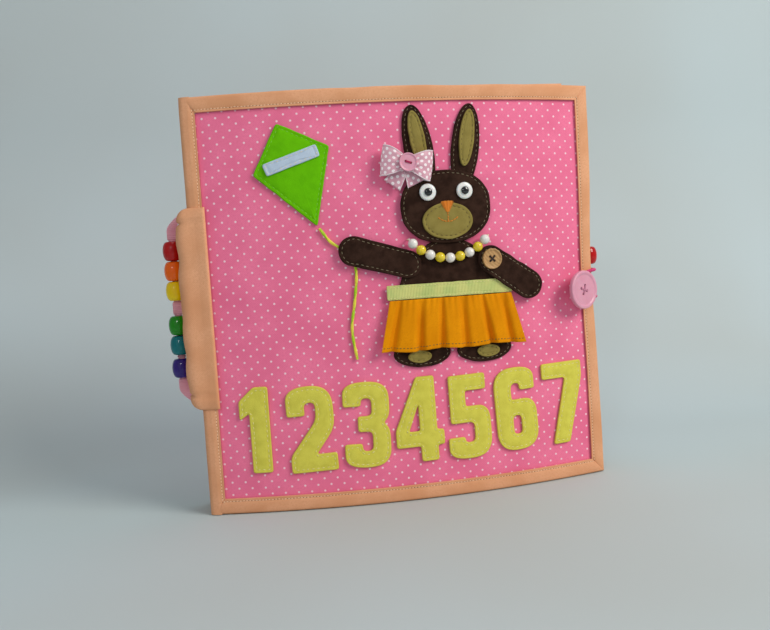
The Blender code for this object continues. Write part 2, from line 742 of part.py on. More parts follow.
def build_figure():
    """The felt rabbit: layered flat pieces, button eyes and two arms."""
    brown, olive = "brown_felt", "olive_felt"
    x = FIGURE_ACROSS
    made = {
        "body_felt": slab("body_felt", FRONT, pear((x, BODY_UP), BODY_WIDTH, BODY_HEIGHT, BODY_NARROW_SHARE),
                          FIRST, FIRST + FELT, brown),
        "head_felt": slab("head_felt", FRONT,
                          ellipse((x, HEAD_UP), HEAD_WIDTH, HEAD_HEIGHT, power=2.3),
                          SECOND, SECOND + FELT, brown),
        "muzzle_felt": slab("muzzle_felt", FRONT,
                            ellipse((x, HEAD_UP - HEAD_HEIGHT * MUZZLE_DROP_SHARE), MUZZLE_WIDTH, MUZZLE_HEIGHT),
                            THIRD, THIRD + FELT, olive),
    }
    for side, sign in (("left", -1), ("right", 1)):
        ear = (x + sign * EAR_SPREAD, HEAD_UP + HEAD_HEIGHT / 2 + EAR_LENGTH / 2 - EAR_TUCK)
        lean = -sign * EAR_LEAN
        made[f"ear_{side}"] = slab(f"ear_{side}", FRONT, ellipse(ear, EAR_WIDTH, EAR_LENGTH, lean),
                                   FIRST, FIRST + FELT, brown)
        higher = (EAR_LENGTH - EAR_LINING_LENGTH) / 2 - EAR_BORDER
        lining = (ear[0] + sign * higher * math.sin(EAR_LEAN), ear[1] + higher * math.cos(EAR_LEAN))
        outline = ellipse(lining, EAR_LINING_WIDTH, EAR_LINING_LENGTH, lean)
        made[f"ear_lining_{side}"] = slab(f"ear_lining_{side}", FRONT, outline, SECOND, SECOND + FELT, olive)
        foot = (x + sign * FOOT_SPREAD, FIGURE_BASE + FOOT_HEIGHT / 2)
        made[f"foot_{side}"] = slab(f"foot_{side}", FRONT, ellipse(foot, FOOT_WIDTH, FOOT_HEIGHT),
                                    FIRST, FIRST + FELT, brown)
        made.update(build_eye(side, x + sign * EYE_SPREAD, HEAD_UP + HEAD_HEIGHT * EYE_RISE_SHARE))
    raised = limb((x - SHOULDER_SPREAD, SHOULDER_UP), RAISED_ARM_LENGTH, RAISED_ARM_ANGLE,
                  ARM_SHOULDER_RADIUS, ARM_PAW_RADIUS)
    made["raised_arm"] = slab("raised_arm", FRONT, raised, ARM_LAYER, ARM_LAYER + FELT, brown)
    made.update(build_swing_arm())
    return made


def build_eye(side, across, up):
    """A white domed button with a black pupil on its flat top."""
    radius, pupil = EYE_DIAMETER / 2, PUPIL_DIAMETER / 2
    edge = EYE_THICK * EYE_EDGE_SHARE
    white = [(0, EYE_THICK), (pupil + GAP, EYE_THICK), (radius - edge, EYE_THICK - edge / 2),
             (radius, EYE_THICK - 2 * edge), (radius - edge / 2, 0), (0, 0)]
    dome = [(0, PUPIL_THICK), (pupil / 2, PUPIL_THICK - edge / 4), (pupil, edge / 2), (pupil, 0), (0, 0)]
    turn = facing(FRONT, across)
    return {
        f"eye_{side}": turned(f"eye_{side}", white, "white_plastic", FRONT.point(across, up, THIRD), turn),
        f"pupil_{side}": turned(f"pupil_{side}", dome, "black_plastic",
                                FRONT.point(across, up, THIRD + EYE_THICK + GAP), turn, steps=BEAD_STEPS),
    }


ARM_PIVOT = FRONT.point(FIGURE_ACROSS + SHOULDER_SPREAD, SHOULDER_UP, SWING_LAYER)
ARM_SLOPE = FRONT.slope(FIGURE_ACROSS + SHOULDER_SPREAD)


def build_swing_arm():
    """A flat felt arm that turns about the wooden button sewn through its shoulder."""
    bm = bmesh.new()
    outline = limb((0, 0), SWING_ARM_LENGTH, SWING_ARM_ANGLE, ARM_SHOULDER_RADIUS, ARM_PAW_RADIUS)
    bm.faces.new([bm.verts.new((across, 0, up)) for across, up in outline])
    raised = bmesh.ops.extrude_face_region(bm, geom=bm.faces[:])["geom"]
    bmesh.ops.translate(bm, verts=[v for v in raised if isinstance(v, bmesh.types.BMVert)],
                        vec=(0, -FELT, 0))
    arm = new_object("swing_arm", mesh_from(bm, "swing_arm"), "brown_felt", ARM_PIVOT, (0, 0, ARM_SLOPE))
    across = FIGURE_ACROSS + SHOULDER_SPREAD
    profile = button_profile(ARM_BUTTON_DIAMETER, ARM_BUTTON_THICK, ARM_BUTTON_RIM,
                             ARM_BUTTON_THICK * BUTTON_EDGE_SHARE)
    button = turned("arm_button", profile, "light_wood",
                    FRONT.point(across, SHOULDER_UP, SWING_LAYER + FELT + GAP), facing(FRONT, across))
    pierce(button, ARM_BUTTON_HOLE, ARM_BUTTON_PITCH, 4, 4 * ARM_BUTTON_THICK)
    return {"swing_arm": arm, "arm_button": button}


def build_bow(round_steps=10, length_steps=12):
    """A puffed ribbon bow, pinched at the middle, with a small button on its knot."""
    across = FIGURE_ACROSS - EAR_SPREAD - EAR_WIDTH / 2
    up = HEAD_UP + HEAD_HEIGHT / 2 + BOW_HEIGHT * BOW_RISE_SHARE
    centre = FRONT.point(across, up, THIRD + BOW_DEPTH / 2)
    bm = bmesh.new()
    rings = []
    for step in range(length_steps + 1):
        along = 2 * step / length_steps - 1
        puff = BOW_PINCH_SHARE + (1 - BOW_PINCH_SHARE) * math.sin(math.pi / 2 * abs(along)) ** 1.5
        fold = math.sqrt(max(1 - along ** 6, BOW_END_SHARE))
        ring = []
        for side in range(round_steps):
            angle = math.tau * side / round_steps
            ring.append(bm.verts.new((BOW_WIDTH / 2 * along, BOW_DEPTH / 2 * fold * math.sin(angle),
                                      BOW_HEIGHT / 2 * puff * math.cos(angle))))
        rings.append(ring)
    for ring, following in zip(rings, rings[1:]):
        for index in range(round_steps):
            after = (index + 1) % round_steps
            bm.faces.new((ring[index], ring[after], following[after], following[index]))
    bm.faces.new(rings[0])
    bm.faces.new(list(reversed(rings[-1])))
    slope = FRONT.slope(across)
    bow = new_object("bow_ribbon", mesh_from(bm, "bow_ribbon", BOW_SMOOTH), "pink_ribbon", centre,
                     (0, EAR_LEAN, slope))
    profile = button_profile(BOW_BUTTON_DIAMETER, BOW_BUTTON_THICK, BOW_BUTTON_RIM,
                             BOW_BUTTON_THICK * BUTTON_EDGE_SHARE)
    at = FRONT.point(across, up, THIRD + BOW_DEPTH + GAP)
    button = turned("bow_button", profile, "pink_plastic", at, facing(FRONT, across))
    pierce(button, BOW_BUTTON_HOLE, BOW_BUTTON_PITCH, 2, 4 * BOW_BUTTON_THICK)
    return {"bow_ribbon": bow, "bow_button": button}


PEARL_OUT = SECOND + PEARL_DIAMETER / 2
NECKLACE_RADIUS = (NECKLACE_SPAN ** 2 / 4 + NECKLACE_DROP ** 2) / (2 * NECKLACE_DROP)


def necklace_point(distance):
    """Place on the necklace's arc, by distance along it from its lowest point."""
    angle = distance / NECKLACE_RADIUS
    up = NECKLACE_HEIGHT - NECKLACE_DROP + NECKLACE_RADIUS * (1 - math.cos(angle))
    return FRONT.point(FIGURE_ACROSS + NECKLACE_RADIUS * math.sin(angle), up, PEARL_OUT)


def build_necklace():
    """Nine pearls threaded on an arc whose thread goes back into the cover at both ends."""
    made = {}
    profile = bead_profile(PEARL_DIAMETER, PEARL_DIAMETER, PEARL_BORE, 0, arc_steps=5)[1:-1]
    half = NECKLACE_RADIUS * math.asin(NECKLACE_SPAN / 2 / NECKLACE_RADIUS)
    for index in range(PEARLS):
        distance = (index - (PEARLS - 1) / 2) * PEARL_PITCH
        ahead = necklace_point(distance + PEARL_PITCH / 2) - necklace_point(distance - PEARL_PITCH / 2)
        middle = (necklace_point(distance + PEARL_PITCH / 2) + necklace_point(distance - PEARL_PITCH / 2)) / 2
        name = f"pearl_{index + 1}"
        turn = ahead.to_track_quat("Z", "Y").to_euler()
        colour = "yellow_plastic" if index % 2 else "white_plastic"
        made[name] = turned(name, profile, colour, middle, turn, steps=PEARL_STEPS, closed=True)
    stops = [index * PEARL_PITCH for index in range(-PEARLS // 2 + 1, PEARLS // 2 + 1)]
    stops = [stop - PEARL_PITCH / 2 for stop in stops] + [stops[-1] + PEARL_PITCH / 2]
    arc = [necklace_point(max(min(stop, half), -half)) for stop in stops]
    rise = Vector((0, PEARL_OUT - FIRST, 0))
    made["necklace_thread"] = tube("necklace_thread", [arc[0] + rise] + arc + [arc[-1] + rise],
                                   THREAD_DIAMETER, "thread", sides=1)
    return made


NECKLACE_ENDS = (FRONT.point(FIGURE_ACROSS - NECKLACE_SPAN / 2, NECKLACE_HEIGHT, FIRST),
                 FRONT.point(FIGURE_ACROSS + NECKLACE_SPAN / 2, NECKLACE_HEIGHT, FIRST))
SKIRT_ENDS = (FRONT.point(FIGURE_ACROSS - SKIRT_TOP_WIDTH / 2, WAIST_HEIGHT - GAP, SECOND),
              FRONT.point(FIGURE_ACROSS + SKIRT_TOP_WIDTH / 2, WAIST_HEIGHT - GAP, SECOND))


def skirt_pivot():
    """A point on the skirt's fold line, in front of its top edge, and the line's direction."""
    along = (SKIRT_ENDS[1] - SKIRT_ENDS[0]).normalized()
    middle = (SKIRT_ENDS[0] + SKIRT_ENDS[1]) / 2
    crown = FRONT.point(FIGURE_ACROSS, WAIST_HEIGHT - GAP, SECOND + SKIRT_TOP_FOLD + SKIRT_THICK)
    return middle + Vector((0, crown.y - middle.y, 0)), along


def build_skirt():
    """A waistband, and below it a pleated skirt that is sewn along its top edge only."""
    low = (FIGURE_ACROSS - WAISTBAND_WIDTH / 2, WAIST_HEIGHT)
    high = (FIGURE_ACROSS + WAISTBAND_WIDTH / 2, WAIST_HEIGHT + WAISTBAND_HEIGHT)
    band = slab("waistband", FRONT, rectangle(low, high), SECOND, SECOND + WAISTBAND_THICK, "grosgrain")
    bm = bmesh.new()
    columns = SKIRT_PLEATS * PLEAT_STEPS
    rows = []
    for row in range(SKIRT_ROWS + 1):
        down = row / SKIRT_ROWS
        width = SKIRT_TOP_WIDTH + (SKIRT_HEM_WIDTH - SKIRT_TOP_WIDTH) * down
        fold = SKIRT_TOP_FOLD + (SKIRT_FOLD - SKIRT_TOP_FOLD) * down
        line = []
        for column in range(columns + 1):
            share = column / columns
            wave = (1 - math.cos(math.tau * SKIRT_PLEATS * share)) / 2
            out = SECOND + SKIRT_THICK + fold * wave
            line.append(bm.verts.new(FRONT.point(FIGURE_ACROSS + width * (share - 1 / 2),
                                                 WAIST_HEIGHT - GAP - SKIRT_LENGTH * down, out)))
        rows.append(line)
    for line, below in zip(rows, rows[1:]):
        for index in range(columns):
            bm.faces.new((line[index], below[index], below[index + 1], line[index + 1]))
    mesh = bpy.data.meshes.new("skirt")
    bm.to_mesh(mesh)
    bm.free()
    skirt = new_object("skirt", mesh, "orange_cotton")
    thick = skirt.modifiers.new("Cloth thickness", "SOLIDIFY")
    thick.thickness = SKIRT_THICK
    thick.offset = -1
    return {"waistband": band, "skirt": skirt}


def kite_outline(centre, width, length):
    """A kite's four corners, with its widest line above the middle."""
    top, low = length * KITE_SHOULDER_SHARE, length * (1 - KITE_SHOULDER_SHARE)
    x, y = centre
    return [(x, y - low), (x + width / 2, y), (x, y + top), (x - width / 2, y)]


def build_kite():
    """A felt kite with a pale strip across it, and the line that hangs from its lower tip."""
    centre = (KITE_ACROSS, KITE_UP + KITE_LENGTH * (1 / 2 - KITE_SHOULDER_SHARE))
    outline = turned_outline(kite_outline(centre, KITE_WIDTH, KITE_LENGTH), centre, KITE_LEAN)
    kite = slab("kite_felt", FRONT, outline, FIRST, FIRST + FELT, "green_felt")
    reach = KITE_WIDTH / 2 - KITE_STRIP_WIDTH
    strip = rectangle((centre[0] - reach, centre[1] - KITE_STRIP_WIDTH / 2),
                      (centre[0] + reach, centre[1] + KITE_STRIP_WIDTH / 2))
    strip = turned_outline(strip, centre, KITE_LEAN)
    band = slab("kite_strip", FRONT, strip, SECOND, SECOND + FELT, "pale_blue_felt")
    line = tube("kite_line", kite_line_route(outline[0]), LINE_DIAMETER, "line_cord")
    return {"kite_felt": kite, "kite_strip": band, "kite_line": line}


def kite_line_route(tip):
    """From the kite's tip, under the raised paw, then hanging straight down the cover."""
    paw = (FIGURE_ACROSS - SHOULDER_SPREAD + RAISED_ARM_LENGTH * math.cos(RAISED_ARM_ANGLE),
           SHOULDER_UP + RAISED_ARM_LENGTH * math.sin(RAISED_ARM_ANGLE))
    out = FIRST + LINE_DIAMETER / 2
    bend = 2 * LINE_DIAMETER
    run = (paw[0] - tip[0], paw[1] - tip[1])
    flat = [
        (tip[0] + bend / 4, tip[1] - LINE_DIAMETER / 2 - GAP),
        (tip[0] + run[0] * LINE_RUN_SHARES[0], tip[1] + run[1] * LINE_RUN_SHARES[1]),
        (tip[0] + run[0] * LINE_PAW_SHARE, paw[1] + bend / 3),
        (paw[0] - bend / 4, paw[1] - bend / 2),
    ]
    flat += [(paw[0] + bend * sway, paw[1] - LINE_TAIL * share) for sway, share in LINE_SWAY_SHARES]
    return smooth_route([FRONT.point(across, up, out) for across, up in flat], 2 * LINE_DIAMETER)


def build():
    """Make every piece and hang the moving ones on their joints' axes."""
    pieces = {}
    for maker in (build_book, build_spine_pieces, build_closing, build_figure, build_bow, build_necklace,
                  build_skirt, build_kite):
        pieces.update(maker())
    hinges = Hinges()
    hinges.add("spine_hinge", (BOOK_LEFT, BACK_FACE, 0))
    hinges.add("front_cover_hinge", (BOOK_LEFT, FRONT_FACE, 0), "spine_hinge")
    for number, leaf in enumerate(LEAVES, 1):
        at = (leaf.left + leaf.half, leaf.middle, 0)
        hinges.add(f"leaf_{number}_hinge", at, "spine_hinge")
        hinges.carry(f"leaf_{number}_hinge", [pieces[f"leaf_{number}"], pieces[f"leaf_{number}_binding"]])
    hinges.add("arm_pivot", ARM_PIVOT, "front_cover_hinge")
    hinges.carry("arm_pivot", [pieces["swing_arm"]])
    hinges.add("skirt_fold", skirt_pivot()[0], "front_cover_hinge")
    hinges.carry("skirt_fold", [pieces["skirt"]])
    hinges.add("necklace_fold", (NECKLACE_ENDS[0] + NECKLACE_ENDS[1]) / 2, "front_cover_hinge")
    hinges.carry("necklace_fold", [piece for name, piece in pieces.items()
                                   if name.startswith("pearl") or name == "necklace_thread"])
    beads = {f"bead_{colour}" for colour in BEAD_SPACES}
    for bead in sorted(beads):
        hinges.add(f"{bead}_slide", pieces[bead].location.copy(), "spine_hinge")
        hinges.carry(f"{bead}_slide", [pieces[bead]])
    on_spine = {"spine_strip", "spine_strap", "bead_ribbon"}
    hinges.carry("spine_hinge", [pieces[name] for name in sorted(on_spine)])
    fixed = {"back_cover", "back_cover_binding", "elastic_loop", "loop_bead"}
    on_front = [piece for name, piece in pieces.items() if piece.parent is None and name not in fixed]
    hinges.carry("front_cover_hinge", on_front)


clear_scene()
BOOK = collection("activity_book")
CUTTERS = collection("cutters")
build()
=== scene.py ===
"""Looks of a soft activity book: sewn covers, a strap with beads, and felt play pieces on the front.

Everything is in metres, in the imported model's frame: +Z is up, +X runs from the spine to the
fore-edge and the front cover faces -Y. Each sub-assembly is a class that holds its own sizes, works
its surfaces out with numpy and dresses them in one of the finishes below.
"""

import json
import logging
from dataclasses import dataclass, field, replace
from enum import Enum
from math import asin, ceil, cos, pi, radians, sin, tan, tau
from typing import Iterable, Sequence

import bmesh
import bpy
import numpy as np
from mathutils import Matrix, Vector
from mathutils.geometry import delaunay_2d_cdt

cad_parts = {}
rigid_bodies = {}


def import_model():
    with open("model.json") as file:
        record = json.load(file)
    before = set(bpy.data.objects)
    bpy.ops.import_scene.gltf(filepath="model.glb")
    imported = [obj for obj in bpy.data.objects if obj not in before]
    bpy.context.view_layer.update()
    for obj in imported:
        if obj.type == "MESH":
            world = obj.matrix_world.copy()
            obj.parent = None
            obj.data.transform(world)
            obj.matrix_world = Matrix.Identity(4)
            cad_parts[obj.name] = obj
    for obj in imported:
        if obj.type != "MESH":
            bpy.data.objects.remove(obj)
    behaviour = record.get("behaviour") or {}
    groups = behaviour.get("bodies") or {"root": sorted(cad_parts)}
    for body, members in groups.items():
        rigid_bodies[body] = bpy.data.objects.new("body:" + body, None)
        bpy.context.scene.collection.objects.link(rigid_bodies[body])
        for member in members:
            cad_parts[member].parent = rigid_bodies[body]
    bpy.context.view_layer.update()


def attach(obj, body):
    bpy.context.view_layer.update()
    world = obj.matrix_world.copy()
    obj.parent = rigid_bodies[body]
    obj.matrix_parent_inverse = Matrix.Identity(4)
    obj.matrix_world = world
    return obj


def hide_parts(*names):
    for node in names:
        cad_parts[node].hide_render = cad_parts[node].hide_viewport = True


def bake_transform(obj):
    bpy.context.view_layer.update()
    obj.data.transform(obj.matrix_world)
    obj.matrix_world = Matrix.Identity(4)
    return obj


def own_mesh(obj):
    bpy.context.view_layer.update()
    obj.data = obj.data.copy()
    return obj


for leftover in list(bpy.data.objects):
    bpy.data.objects.remove(leftover, do_unlink=True)
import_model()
LOG = logging.getLogger("activity_book")
MM = 0.001
Array = np.ndarray
Pair = tuple[float, float]
Tree = bpy.types.NodeTree
Socket = bpy.types.NodeSocket


def linear(hex_colour: str) -> tuple[float, float, float, float]:
    """Turn six sRGB hex digits into linear red, green and blue, and an alpha of one."""
    channels = np.array([int(hex_colour[i:i + 2], 16) for i in (0, 2, 4)]) / 255
    low, high = channels / 12.92, ((channels + 0.055) / 1.055) ** 2.4
    return (*np.where(channels <= 0.04045, low, high).tolist(), 1.0)


def add(tree: Tree, kind: str, inputs: dict | None = None, **settings: object) -> Sequence[Socket]:
    """Add a node with its links and settings.

    Args:
        tree: the tree that gets it.
        kind: its type's name without "ShaderNode".
        inputs: for each input, by name or number, the socket linked to it or its value.
        settings: its own properties.

    Returns:
        The node's outputs.
    """
    node = tree.nodes.new("ShaderNode" + kind)
    for name, value in settings.items():
        setattr(node, name, value)
    for name, value in (inputs or {}).items():
        if isinstance(value, Socket):
            tree.links.new(value, node.inputs[name])
        else:
            node.inputs[name].default_value = value
    return node.outputs


def mixed(tree: Tree, share: Socket, low: str | Socket, high: str | Socket) -> Socket:
    """Blend two colours, from the low one where the share is nought to the high one where it is one."""
    low, high = (linear(c) if isinstance(c, str) else c for c in (low, high))
    return add(tree, "Mix", {0: share, 6: low, 7: high}, data_type="RGBA")[2]


def ramped(tree: Tree, value: Socket, start: float, end: float) -> Socket:
    """Stretch the part of a value between start and end over nought to one, smoothly."""
    return add(tree, "MapRange", {0: value, 1: start, 2: end}, interpolation_type="SMOOTHSTEP")[0]


def dot_share(tree: Tree, uv: Socket, across: float, down: float, radius: float) -> Socket:
    """One inside a printed dot, from two lattices half a step apart, whichever is nearer.

    Args:
        tree: the material's tree.
        uv: place on the cloth.
        across: distance between dots in a row.
        down: distance between rows.
        radius: a dot's radius.

    Returns:
        The share of the dot's colour.
    """
    turned = add(tree, "VectorRotate", {"Vector": uv, "Angle": radians(0.7)}, rotation_type="Z_AXIS")[0]
    nearest = []
    for shift in (0.0, 0.5):
        offset = (across * shift, 2 * down * shift, 0)
        place = add(tree, "VectorMath", {0: turned, 1: offset}, operation="ADD")[0]
        corner = add(tree, "VectorMath", {0: place, 1: (across, 2 * down, 1)}, operation="SNAP")[0]
        inside = add(tree, "VectorMath", {0: place, 1: corner}, operation="SUBTRACT")[0]
        nearest.append(add(tree, "VectorMath", {0: inside, 1: (across / 2, down, 0)}, operation="DISTANCE")[1])
    least = add(tree, "Math", {0: nearest[0], 1: nearest[1]}, operation="MINIMUM")[0]
    return ramped(tree, least, radius * 1.15, radius * 0.85)


@dataclass(frozen=True)
class Finish:
    """A real material in two colours. Each kind below adds what its surface does to light."""

    name: str
    colour: str
    shade: str

    def sockets(self) -> dict[str, object]:
        """Constant values of the shader's inputs."""
        return {}

    def pattern(self, tree: Tree) -> tuple[Socket, Socket | None, float]:
        """Colour, a height from nought to one where there is one, and the height's real depth."""
        raise NotImplementedError

    def shaded(self, tree: Tree, value: Socket, start: float, end: float, over: str | Socket) -> Socket:
        """Lay the shade over a colour where a value goes from start to end."""
        return mixed(tree, ramped(tree, value, start, end), over, self.shade)

    def make(self) -> bpy.types.Material:
        """Make the material: its constants, its pattern's colour, and its height as a bump."""
        made = bpy.data.materials.new(self.name)
        made.use_nodes = True
        shader = made.node_tree.nodes["Principled BSDF"]
        for socket, value in self.sockets().items():
            shader.inputs[socket].default_value = value
        colour, height, depth = self.pattern(made.node_tree)
        made.node_tree.links.new(colour, shader.inputs["Base Color"])
        if height:
            bump = add(made.node_tree, "Bump", {"Distance": depth, "Height": height})[0]
            made.node_tree.links.new(bump, shader.inputs["Normal"])
        return made


@dataclass(frozen=True)
class Cotton(Finish):
    """Plain woven cotton: matt, with a soft nap and threads that cross at right angles.

    The real threads lie about 0.3 mm apart, too fine to show, so they are drawn twice as far apart.
    """

    thread: float = 0.6 * MM
    depth: float = 0.05 * MM
    dot: str | None = None

    def sockets(self) -> dict[str, object]:
        """Almost no gloss, and a faint nap in the cloth's own colour."""
        return {"Roughness": 0.9, "Sheen Weight": 0.12, "Sheen Roughness": 0.5,
                "Sheen Tint": linear(self.colour), "Specular IOR Level": 0.06}

    def pattern(self, tree: Tree) -> tuple[Socket, Socket, float]:
        """Slow clouds and slubs; the weave's height is the product of two sine waves, warp by weft."""
        uv = add(tree, "UVMap", uv_map="cloth")[0]
        waved = []
        for axis in add(tree, "SeparateXYZ", {0: uv})[:2]:
            turns = add(tree, "Math", {0: axis, 1: pi / self.thread}, operation="MULTIPLY")[0]
            waved.append(add(tree, "Math", {0: turns}, operation="SINE")[0])
        product = add(tree, "Math", dict(enumerate(waved)), operation="MULTIPLY")[0]
        weave = add(tree, "MapRange", {0: product, 1: -1.0, 2: 1.0})[0]
        cloud = add(tree, "TexNoise", {"Vector": uv, "Scale": 1 / (22 * MM), "Detail": 3.0})[0]
        slub = add(tree, "TexNoise", {"Vector": uv, "Scale": 1 / (1.1 * MM), "Detail": 2.0})[0]
        colour = self.shaded(tree, slub, 0.35, 0.9, self.shaded(tree, cloud, 0.3, 0.7, self.colour))
        if self.dot:
            colour = mixed(tree, dot_share(tree, uv, 7.55 * MM, 3.67 * MM, 0.62 * MM), colour, self.dot)
        return colour, weave, self.depth


@dataclass(frozen=True)
class Felt(Finish):
    """Pressed craft felt: no weave, only short matted fibres that catch light at grazing angles."""

    fibre: float = 0.5 * MM
    depth: float = 0.18 * MM

    def sockets(self) -> dict[str, object]:
        """Fully matt, with a strong nap in the felt's own colour."""
        return {"Roughness": 0.95, "Sheen Weight": 0.3, "Sheen Roughness": 0.6,
                "Sheen Tint": linear(self.colour), "Specular IOR Level": 0.05}

    def pattern(self, tree: Tree) -> tuple[Socket, Socket, float]:
        """Bent fine noise for the fibres, with slow colour clouds."""
        place = add(tree, "TexCoord")["Object"]
        fine = add(tree, "TexNoise", {"Vector": place, "Scale": 1 / self.fibre, "Detail": 4.0,
                                      "Roughness": 0.7, "Distortion": 1.2})[0]
        cloud = add(tree, "TexNoise", {"Vector": place, "Scale": 1 / (5 * MM), "Detail": 2.0})[0]
        colour = self.shaded(tree, fine, 0.45, 0.8, self.shaded(tree, cloud, 0.3, 0.75, self.colour))
        return colour, fine, self.depth


@dataclass(frozen=True)
class Ribbon(Finish):
    """Woven ribbon with cross ribs: grosgrain is matt, satin has a soft streak of light."""

    rib: float = 0.9 * MM
    depth: float = 0.15 * MM
    roughness: float = 0.7
    sheen: float = 0.2
    alpha: float = 1.0
    dot: str | None = None

    def sockets(self) -> dict[str, object]:
        """The roughness and sheen tell grosgrain, satin and organza apart, and organza is sheer."""
        return {"Roughness": self.roughness, "Sheen Weight": self.sheen, "Sheen Roughness": 0.4,
                "Specular IOR Level": 0.35, "Alpha": self.alpha}

    def pattern(self, tree: Tree) -> tuple[Socket, Socket, float]:
        """Ribs are a sine along the ribbon, and dots, which aren't sheer, a lattice as on the cotton."""
        uv = add(tree, "UVMap", uv_map="cloth")[0]
        along = add(tree, "SeparateXYZ", {0: uv})[0]
        turns = add(tree, "Math", {0: along, 1: tau / self.rib}, operation="MULTIPLY")[0]
        wave = add(tree, "Math", {0: turns}, operation="SINE")[0]
        ribs = add(tree, "MapRange", {0: wave, 1: -1.0, 2: 1.0})[0]
        cloud = add(tree, "TexNoise", {"Vector": uv, "Scale": 1 / (9 * MM), "Detail": 2.0})[0]
        dark = add(tree, "Math", {0: ribs, 1: 0.35}, operation="MULTIPLY")[0]
        colour = mixed(tree, dark, self.shaded(tree, cloud, 0.3, 0.75, self.colour), self.shade)
        if self.dot:
            share = dot_share(tree, uv, 4.6 * MM, 2.3 * MM, 0.9 * MM)
            colour = mixed(tree, share, colour, self.dot)
            solid = add(tree, "MapRange", {0: share, 3: self.alpha, 4: 1.0})[0]
            tree.links.new(solid, tree.nodes["Principled BSDF"].inputs["Alpha"])
        return colour, ribs, self.depth


@dataclass(frozen=True)
class Gloss(Finish):
    """A hard smooth surface: lacquered birch, moulded polyester or imitation pearl.

    Lacquer lies over the colour as a clear coat, so that it shows the lamps as small lights.
    """

    roughness: float = 0.3
    coat: float = 0.0
    cloud: float = 6 * MM
    depth: float = 0.02 * MM
    scatter: float = 0.0
    specular: float = 0.5

    def sockets(self) -> dict[str, object]:
        """Polyester lets a little light under its skin."""
        return {"Roughness": self.roughness, "IOR": 1.5, "Coat Weight": self.coat, "Coat Roughness": 0.06,
                "Subsurface Weight": self.scatter, "Subsurface Scale": 1 * MM,
                "Specular IOR Level": self.specular}

    def pattern(self, tree: Tree) -> tuple[Socket, Socket, float]:
        """Slow noise between the two colours, which is also the height."""
        cloud = add(tree, "TexNoise", {"Vector": add(tree, "TexCoord")["Object"], "Scale": 1 / self.cloud,
                                       "Detail": 3.0})[0]
        return self.shaded(tree, cloud, 0.3, 0.75, self.colour), cloud, self.depth


@dataclass(frozen=True)
class Wood(Finish):
    """Turned light hardwood with a wax finish: rings and fine pores, a low sheen."""

    ring: float = 1.3 * MM

    def sockets(self) -> dict[str, object]:
        """Wax gives a broad, low gloss."""
        return {"Roughness": 0.42, "IOR": 1.5}

    def pattern(self, tree: Tree) -> tuple[Socket, Socket, float]:
        """Bent bands at the ring's spacing, and noise for the pores."""
        place = add(tree, "TexCoord")["Object"]
        bands = add(tree, "TexWave", {"Vector": place, "Scale": 0.31 / self.ring, "Distortion": 3.0,
                                      "Detail": 2.0}, bands_direction="DIAGONAL")[1]
        pores = add(tree, "TexNoise", {"Vector": place, "Scale": 1 / (0.4 * MM), "Detail": 2.0})[0]
        colour = self.shaded(tree, pores, 0.55, 0.85, mixed(tree, bands, self.colour, self.shade))
        return colour, pores, 0.04 * MM


@dataclass(frozen=True)
class Strand(Finish):
    """Spun thread, braid or cord: strands wind round it, and a second colour may lie beside the first."""

    twist: float = 0.8 * MM
    halves: bool = False

    def sockets(self) -> dict[str, object]:
        """Spun fibres have a soft gloss and a nap."""
        return {"Roughness": 0.6, "Sheen Weight": 0.25, "Sheen Roughness": 0.4, "Specular IOR Level": 0.35}

    def pattern(self, tree: Tree) -> tuple[Socket, Socket, float]:
        """The UV map's U goes along the strand in metres and V once round it."""
        split = add(tree, "SeparateXYZ", {0: add(tree, "UVMap", uv_map="cloth")[0]})
        turns = add(tree, "Math", {0: split[0], 1: self.twist}, operation="DIVIDE")[0]
        both = add(tree, "Math", {0: turns, 1: split[1]}, operation="ADD")[0]
        sines = []
        for turn in (both, split[1]):
            angle = add(tree, "Math", {0: turn, 1: tau}, operation="MULTIPLY")[0]
            sines.append(add(tree, "Math", {0: angle}, operation="SINE")[0])
        ply = add(tree, "MapRange", {0: sines[0], 1: -1.0, 2: 1.0})[0]
        share = (ramped(tree, sines[1], -0.15, 0.15) if self.halves
                 else add(tree, "Math", {0: ply, 1: 0.6}, operation="MULTIPLY")[0])
        return mixed(tree, share, self.colour, self.shade), ply, 0.08 * MM


@dataclass(frozen=True)
class Sweep(Finish):
    """Matt cloth of the backdrop. Its back is clear, so that a camera behind it still sees the book."""

    def sockets(self) -> dict[str, object]:
        """Almost no gloss."""
        return {"Roughness": 0.95, "Specular IOR Level": 0.1}

    def pattern(self, tree: Tree) -> tuple[Socket, None, float]:
        """Broad clouds, and an alpha that is nought on the back."""
        place = add(tree, "TexCoord")["Object"]
        cloud = add(tree, "TexNoise", {"Vector": place, "Scale": 3.0, "Detail": 2.0})[0]
        front = add(tree, "Math", {0: 1.0, 1: add(tree, "NewGeometry")["Backfacing"]}, operation="SUBTRACT")[0]
        tree.links.new(front, tree.nodes["Principled BSDF"].inputs["Alpha"])
        return self.shaded(tree, cloud, 0.3, 0.8, self.colour), None, 0.0


def joined(*parts: Array | float) -> Array:
    """Broadcast parts to one shape and stack them along a new last axis."""
    return np.stack(np.broadcast_arrays(*parts), -1)


def unit(vectors: Array) -> Array:
    """Scale vectors along the last axis to length one."""
    return vectors / np.linalg.norm(vectors, axis=-1, keepdims=True)


def run_along(points: Array) -> Array:
    """Distance along a line of points from its start."""
    return np.concatenate([[0], np.cumsum(np.linalg.norm(np.diff(points, axis=0), axis=1))])


def spun(angle: float) -> Array:
    """Matrix that turns rows of x and y by an angle."""
    return np.array([[cos(angle), sin(angle)], [-sin(angle), cos(angle)]])


